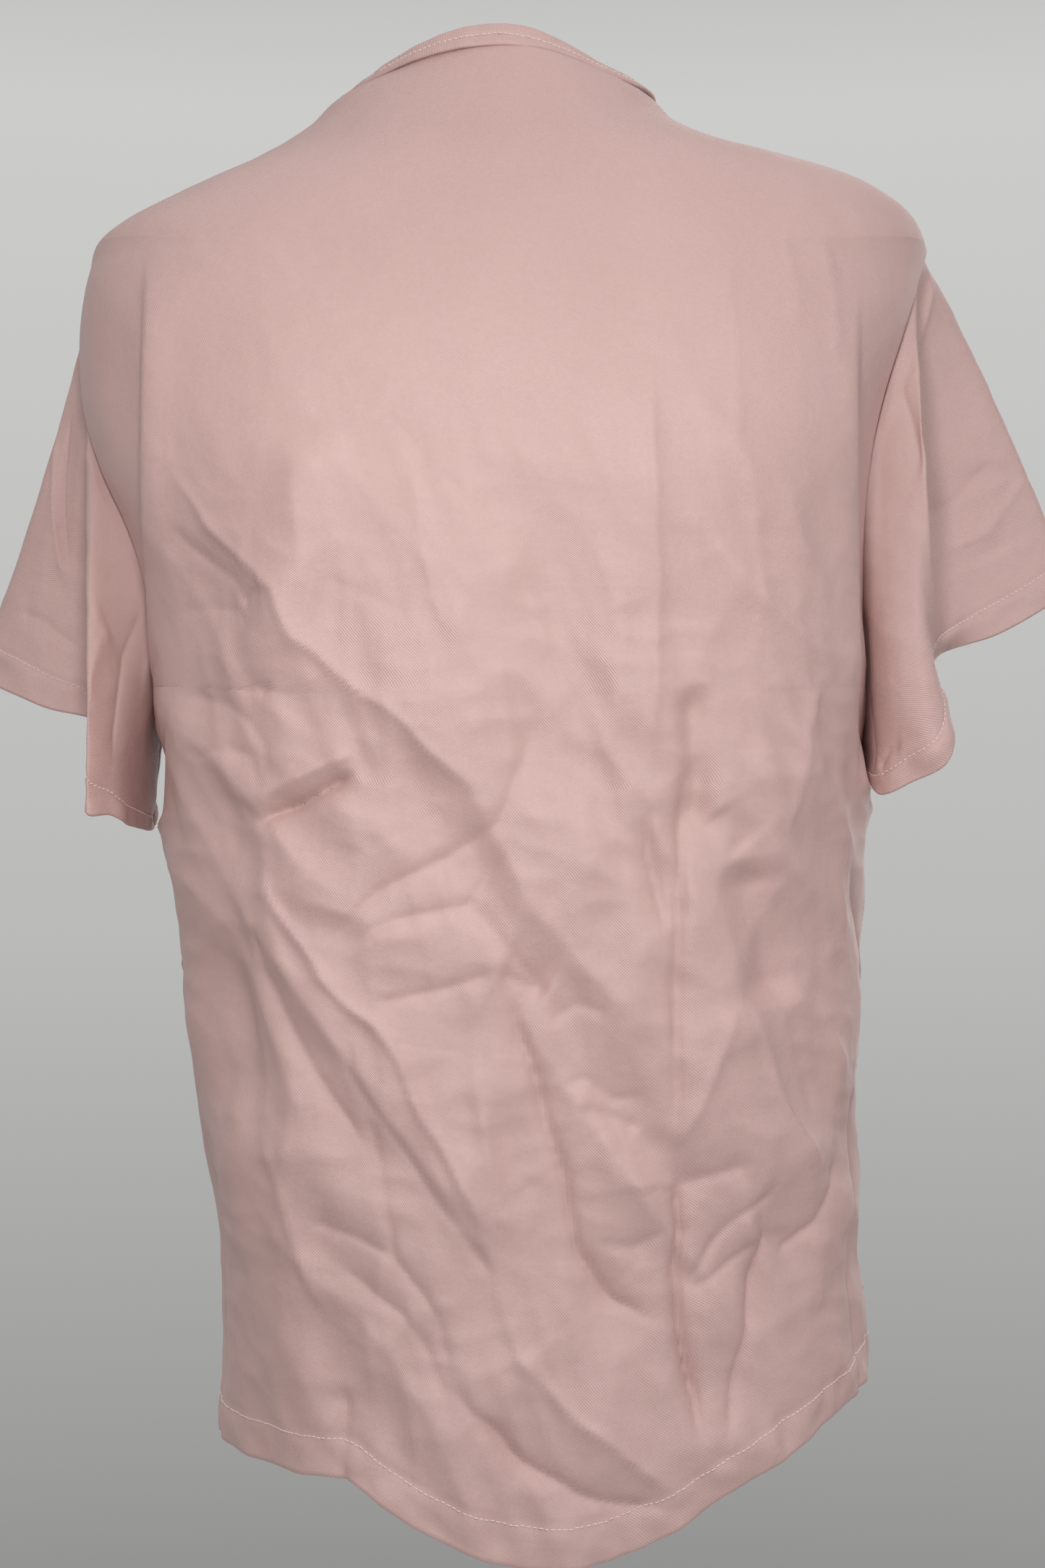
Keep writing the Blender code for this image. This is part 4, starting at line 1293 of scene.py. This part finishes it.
def make_overlocks(hand, word):
    """The overlocked seams of one hand: side, shoulder, armhole and the sleeve's underarm."""
    edge, inward = (0, 1) if hand == LEFT else (PANEL_COLUMNS, -1)
    tip = LOWER_ROWS + ARMHOLE_ROWS
    low = row_at_height(back, edge, VENT_TOP + 4 * MM)
    side_rows = np.linspace(low, LOWER_ROWS - 3, 120)
    shoulder_rows = np.linspace(tip + 2, tip + SHOULDER_ROWS - 1, 70)
    arm_rows = np.linspace(LOWER_ROWS + 2, tip - 2, 110)
    for name, seam, rows, cloths in (("side", "side_seam", side_rows, [back]),
                                     ("shoulder", "shoulder", shoulder_rows, [back]),
                                     ("armhole", "armhole", arm_rows, [back, front])):
        shapes = sum([overlock_shapes(cloth, rows, edge, inward) for cloth in cloths], [])
        seam_object(f"{word}_{name}_overlocking", shapes, f"{word}_{seam}_overlock")
    sleeve_rows = np.linspace(SLEEVE_TURNED_SHARE * SLEEVE_ROWS, SLEEVE_ROWS - 8, 90)
    underarm = seam_object(f"{word}_sleeve_overlocking",
                           overlock_shapes(sleeves[hand], sleeve_rows, 0, 1),
                           f"{word}_sleeve_underarm_overlock", None)
    sleeve_blend(underarm)


# ---------------------------------------------------------------- pockets

def make_pocket(hand):
    """A patch pocket: its mouth stands open, its other edges are turned under and sewn down."""
    rows, columns = POCKET_GRID
    edge, inward = (0, 1) if hand == LEFT else (PANEL_COLUMNS, -1)
    middle_column = round(edge + inward * 0.27 * PANEL_COLUMNS)
    low = row_at_height(front, middle_column, POCKET_BOTTOM)
    high = row_at_height(front, middle_column, POCKET_TOP)
    outer = edge + inward * columns_for(front, low, POCKET_FROM_SEAM)
    inner = PANEL_COLUMNS / 2 - inward * columns_for(front, low, POCKET_INNER)
    up_grid, across_grid = np.meshgrid(np.linspace(0, 1, rows), np.linspace(0, 1, columns),
                                       indexing="ij")
    grid_rows = low + (high - low) * up_grid
    grid_columns = outer + (inner - outer) * across_grid
    calm = Cloth(np.stack([blurred(front.points[..., axis], 10, False) for axis in range(3)], -1),
                 FRONT)
    calm.normals = blurred(calm.normals, 12, False)
    points, normals = calm.at(grid_rows, grid_columns)
    hollow = POCKET_GAPE * np.sin(pi * across_grid).clip(0) ** 0.7 * up_grid ** 1.3
    on_cloth = front.at(grid_rows, grid_columns)[0]
    free = ease(np.minimum(np.minimum(across_grid, 1 - across_grid) / 0.08, up_grid / 0.07))
    points = points + normals * (POCKET_SEAT + hollow)[..., None]
    seated = on_cloth + normals * POCKET_SEAT
    points = seated + (points - seated) * free[..., None]
    wrinkles = POCKET_WRINKLE * soft_waves(points, 0.05, SEEDS["pocket"] + hand) * free
    points = points + normals * (wrinkles + 0.25 * MM * (1 - free))[..., None]
    return Cloth(points, FRONT if hand == LEFT else BACK)


def share_of(line, distance):
    """The share of a line's length that a distance covers."""
    return distance / arc_lengths(line)[-1]


def pocket_sheet(cloth, turned):
    """The pocket's points with its mouth's hem and its other edges turned under."""
    points, normals = cloth.points, cloth.normals
    rows = len(points)
    inside = [points[-1] - normals[-1] * 0.5 * TURN_GAP + [0, 0, 0.3 * TURN_GAP]]
    for row in range(rows - 1, rows - 1 - turned, -1):
        inside.append(points[row] - normals[row] * TURN_GAP)
    under = points[0] - normals[0] * POCKET_EDGE
    points = np.concatenate([under[None], points, np.array(inside)])
    normals = np.concatenate([normals[:1], normals, normals[-1:].repeat(len(inside), 0)])
    return np.concatenate([points[:, :1] - normals[:, :1] * POCKET_EDGE, points,
                           points[:, -1:] - normals[:, -1:] * POCKET_EDGE], axis=1)


def pocket_pieces(hand, word):
    """A pocket's cloth, the stitching round it and along its mouth, and its two bar tacks."""
    cloth = make_pocket(hand)
    rows, columns = cloth.points.shape[:2]
    height_line, width_line = cloth.points[:, columns // 2], cloth.points[rows // 2]
    turned = round(share_of(height_line, POCKET_MOUTH_HEM) * rows)
    points = pocket_sheet(cloth, turned)
    piece = cloth_object(f"{word}_pocket_cloth", points, flat_layout(points), False,
                         cloth.outward, twill)
    declare_sheet(points)
    dress(piece, f"{word}_pocket")
    low = share_of(height_line, POCKET_STITCH_INSET) * (rows - 1)
    first = share_of(width_line, POCKET_STITCH_INSET) * (columns - 1)
    last = columns - 1 - first
    top = rows - 3.0
    legs = [(np.linspace(top, low, 90), first), (low, np.linspace(first, last, 80)),
            (np.linspace(low, top, 90), last)]
    shapes = [stitched(*cloth.at(row, column, ON_CLOTH)) for row, column in legs]
    thread_object(f"{word}_pocket_stitching", joined(shapes), f"{word}_pocket_stitch")
    mouth = stitched(*cloth.at(rows - turned, np.linspace(first, last, 160), ON_CLOTH))
    thread_object(f"{word}_pocket_mouth_stitching", mouth, f"{word}_pocket_mouth_stitch")
    for end, column in (("outer", first), ("inner", last)):
        place, normal = cloth.at(rows - 3.5, column, ON_CLOTH + 0.3 * MM)
        along = unit(cloth.at(rows - 2.0, column)[0] - cloth.at(rows - 5.0, column)[0])
        bar = satin_bar(place - along * 2.5 * MM, along, np.cross(along, normal), normal)
        thread_object(f"{word}_pocket_{end}_tack", bar, f"{word}_pocket_{end}_bar_tack")


# ---------------------------------------------------------------- neckband

def neck_line(distance):
    """Points round the neck on the smooth body: left shoulder, back, right shoulder, front V."""
    shares = np.linspace(0, 1, NECK_STEPS + 1)

    def half(side, hand):
        angle, height = neckline(side, hand, shares, distance)
        return section(side, angle if hand == LEFT else pi - angle, height)

    return np.concatenate([half(BACK, LEFT)[:-1], half(BACK, RIGHT)[::-1][:-1],
                           half(FRONT, RIGHT)[:-1], half(FRONT, LEFT)[::-1][:-1]])


def make_neckband():
    """The folded band round the neck, with a groove where its topstitching pulls it in."""
    low, high = neck_line(0.0), neck_line(BAND_HIGH)
    reach = np.linalg.norm(high - low, axis=1, keepdims=True)
    upward = (high - low) / reach
    outward = unit(np.cross(np.roll(low, -1, axis=0) - np.roll(low, 1, axis=0), upward))
    inside_out = np.sum(outward * low * [1, 1, 0], axis=1) < 0
    outward *= np.where(inside_out, -1.0, 1.0)[:, None]
    outward = unit(blurred(outward[None], 8, True)[0])
    share = reach[:, 0] / BAND_HIGH
    points = np.array([low + upward * (rise * MM * share)[:, None]
                       + outward * (lift * BAND_THICK / 2) for rise, lift in BAND_PROFILE])
    waves = (soft_waves(points, 0.018, SEEDS["band_fine"]) * 0.16 * MM
             + soft_waves(points, 0.09, SEEDS["band_broad"]) * 0.8 * MM)
    points = points + outward[None] * waves[..., None]
    rows, columns = points.shape[:2]
    faces = grid_faces(rows + 1, columns, True, 1) % (rows * columns)
    mesh = mesh_from("neckband_cloth", points, faces.tolist(), flat_layout(points, closed=True))
    band = new_object("neckband_cloth", mesh, twill)
    dress(band, "neckband")
    groove = points[BAND_STITCH] + outward * 0.10 * MM
    thread_object("neckband_stitching", stitched(groove, outward, True), "neckband_topstitch")


# ---------------------------------------------------------------- labels

def label_object(node, points, thickness):
    name = f"{node}_cloth"
    piece = cloth_object(name, points, flat_layout(points), False, 1, yarns["label_white"],
                         thickness)
    declare_sheet(points)
    dress(piece, node)


def make_neck_label():
    """A blank woven label, sewn in under the back of the neckband by its two short ends."""
    rows = back.points.shape[0] - 1
    middle = PANEL_COLUMNS // 2
    four_rows = np.linalg.norm(back.points[rows, middle] - back.points[rows - 4, middle])
    top = rows - 2.0
    depth = NECK_LABEL / four_rows * 4
    reach = columns_for(back, rows, NECK_LABEL)
    up, on = np.meshgrid(np.linspace(top - depth, top, 24), np.linspace(-1, 1, 44), indexing="ij")
    points, normals = back.at(up, middle + on * reach, -NECK_LABEL_DEPTH)
    label_object("neck_label", points - normals * (NECK_LABEL_SAG * (1 - on ** 2))[..., None],
                 0.35 * MM)


def make_care_label():
    """A blank folded label that hangs from the left side seam, inside."""
    low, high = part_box("care_label")
    up, on = np.meshgrid(np.linspace(0, 1, 30), np.linspace(0, 1, 24), indexing="ij")
    seam = row_at_height(back, 0, (low[2] + high[2]) / 2)
    start = back.at(seam, 0.0, -2.2 * MM)[0]
    x = start[0] - 2.5 * MM - 7.0 * MM * on ** 1.5 + 1.2 * MM * np.sin(3 * on + 2.5 * up)
    y = start[1] + 4 * MM + CARE_LABEL_WIDTH * on
    z = low[2] + (high[2] - low[2]) * up + 0.8 * MM * np.sin(4 * on)
    label_object("care_label", np.stack([x, y, z], -1), 0.45 * MM)


inside_twill = twill_material("inside_twill")
for hand, word in ((LEFT, "left"), (RIGHT, "right")):
    vent_stitching(hand, word)
    sleeve_stitching(hand, word)
    make_overlocks(hand, word)
    pocket_pieces(hand, word)
make_neckband()
make_neck_label()
make_care_label()
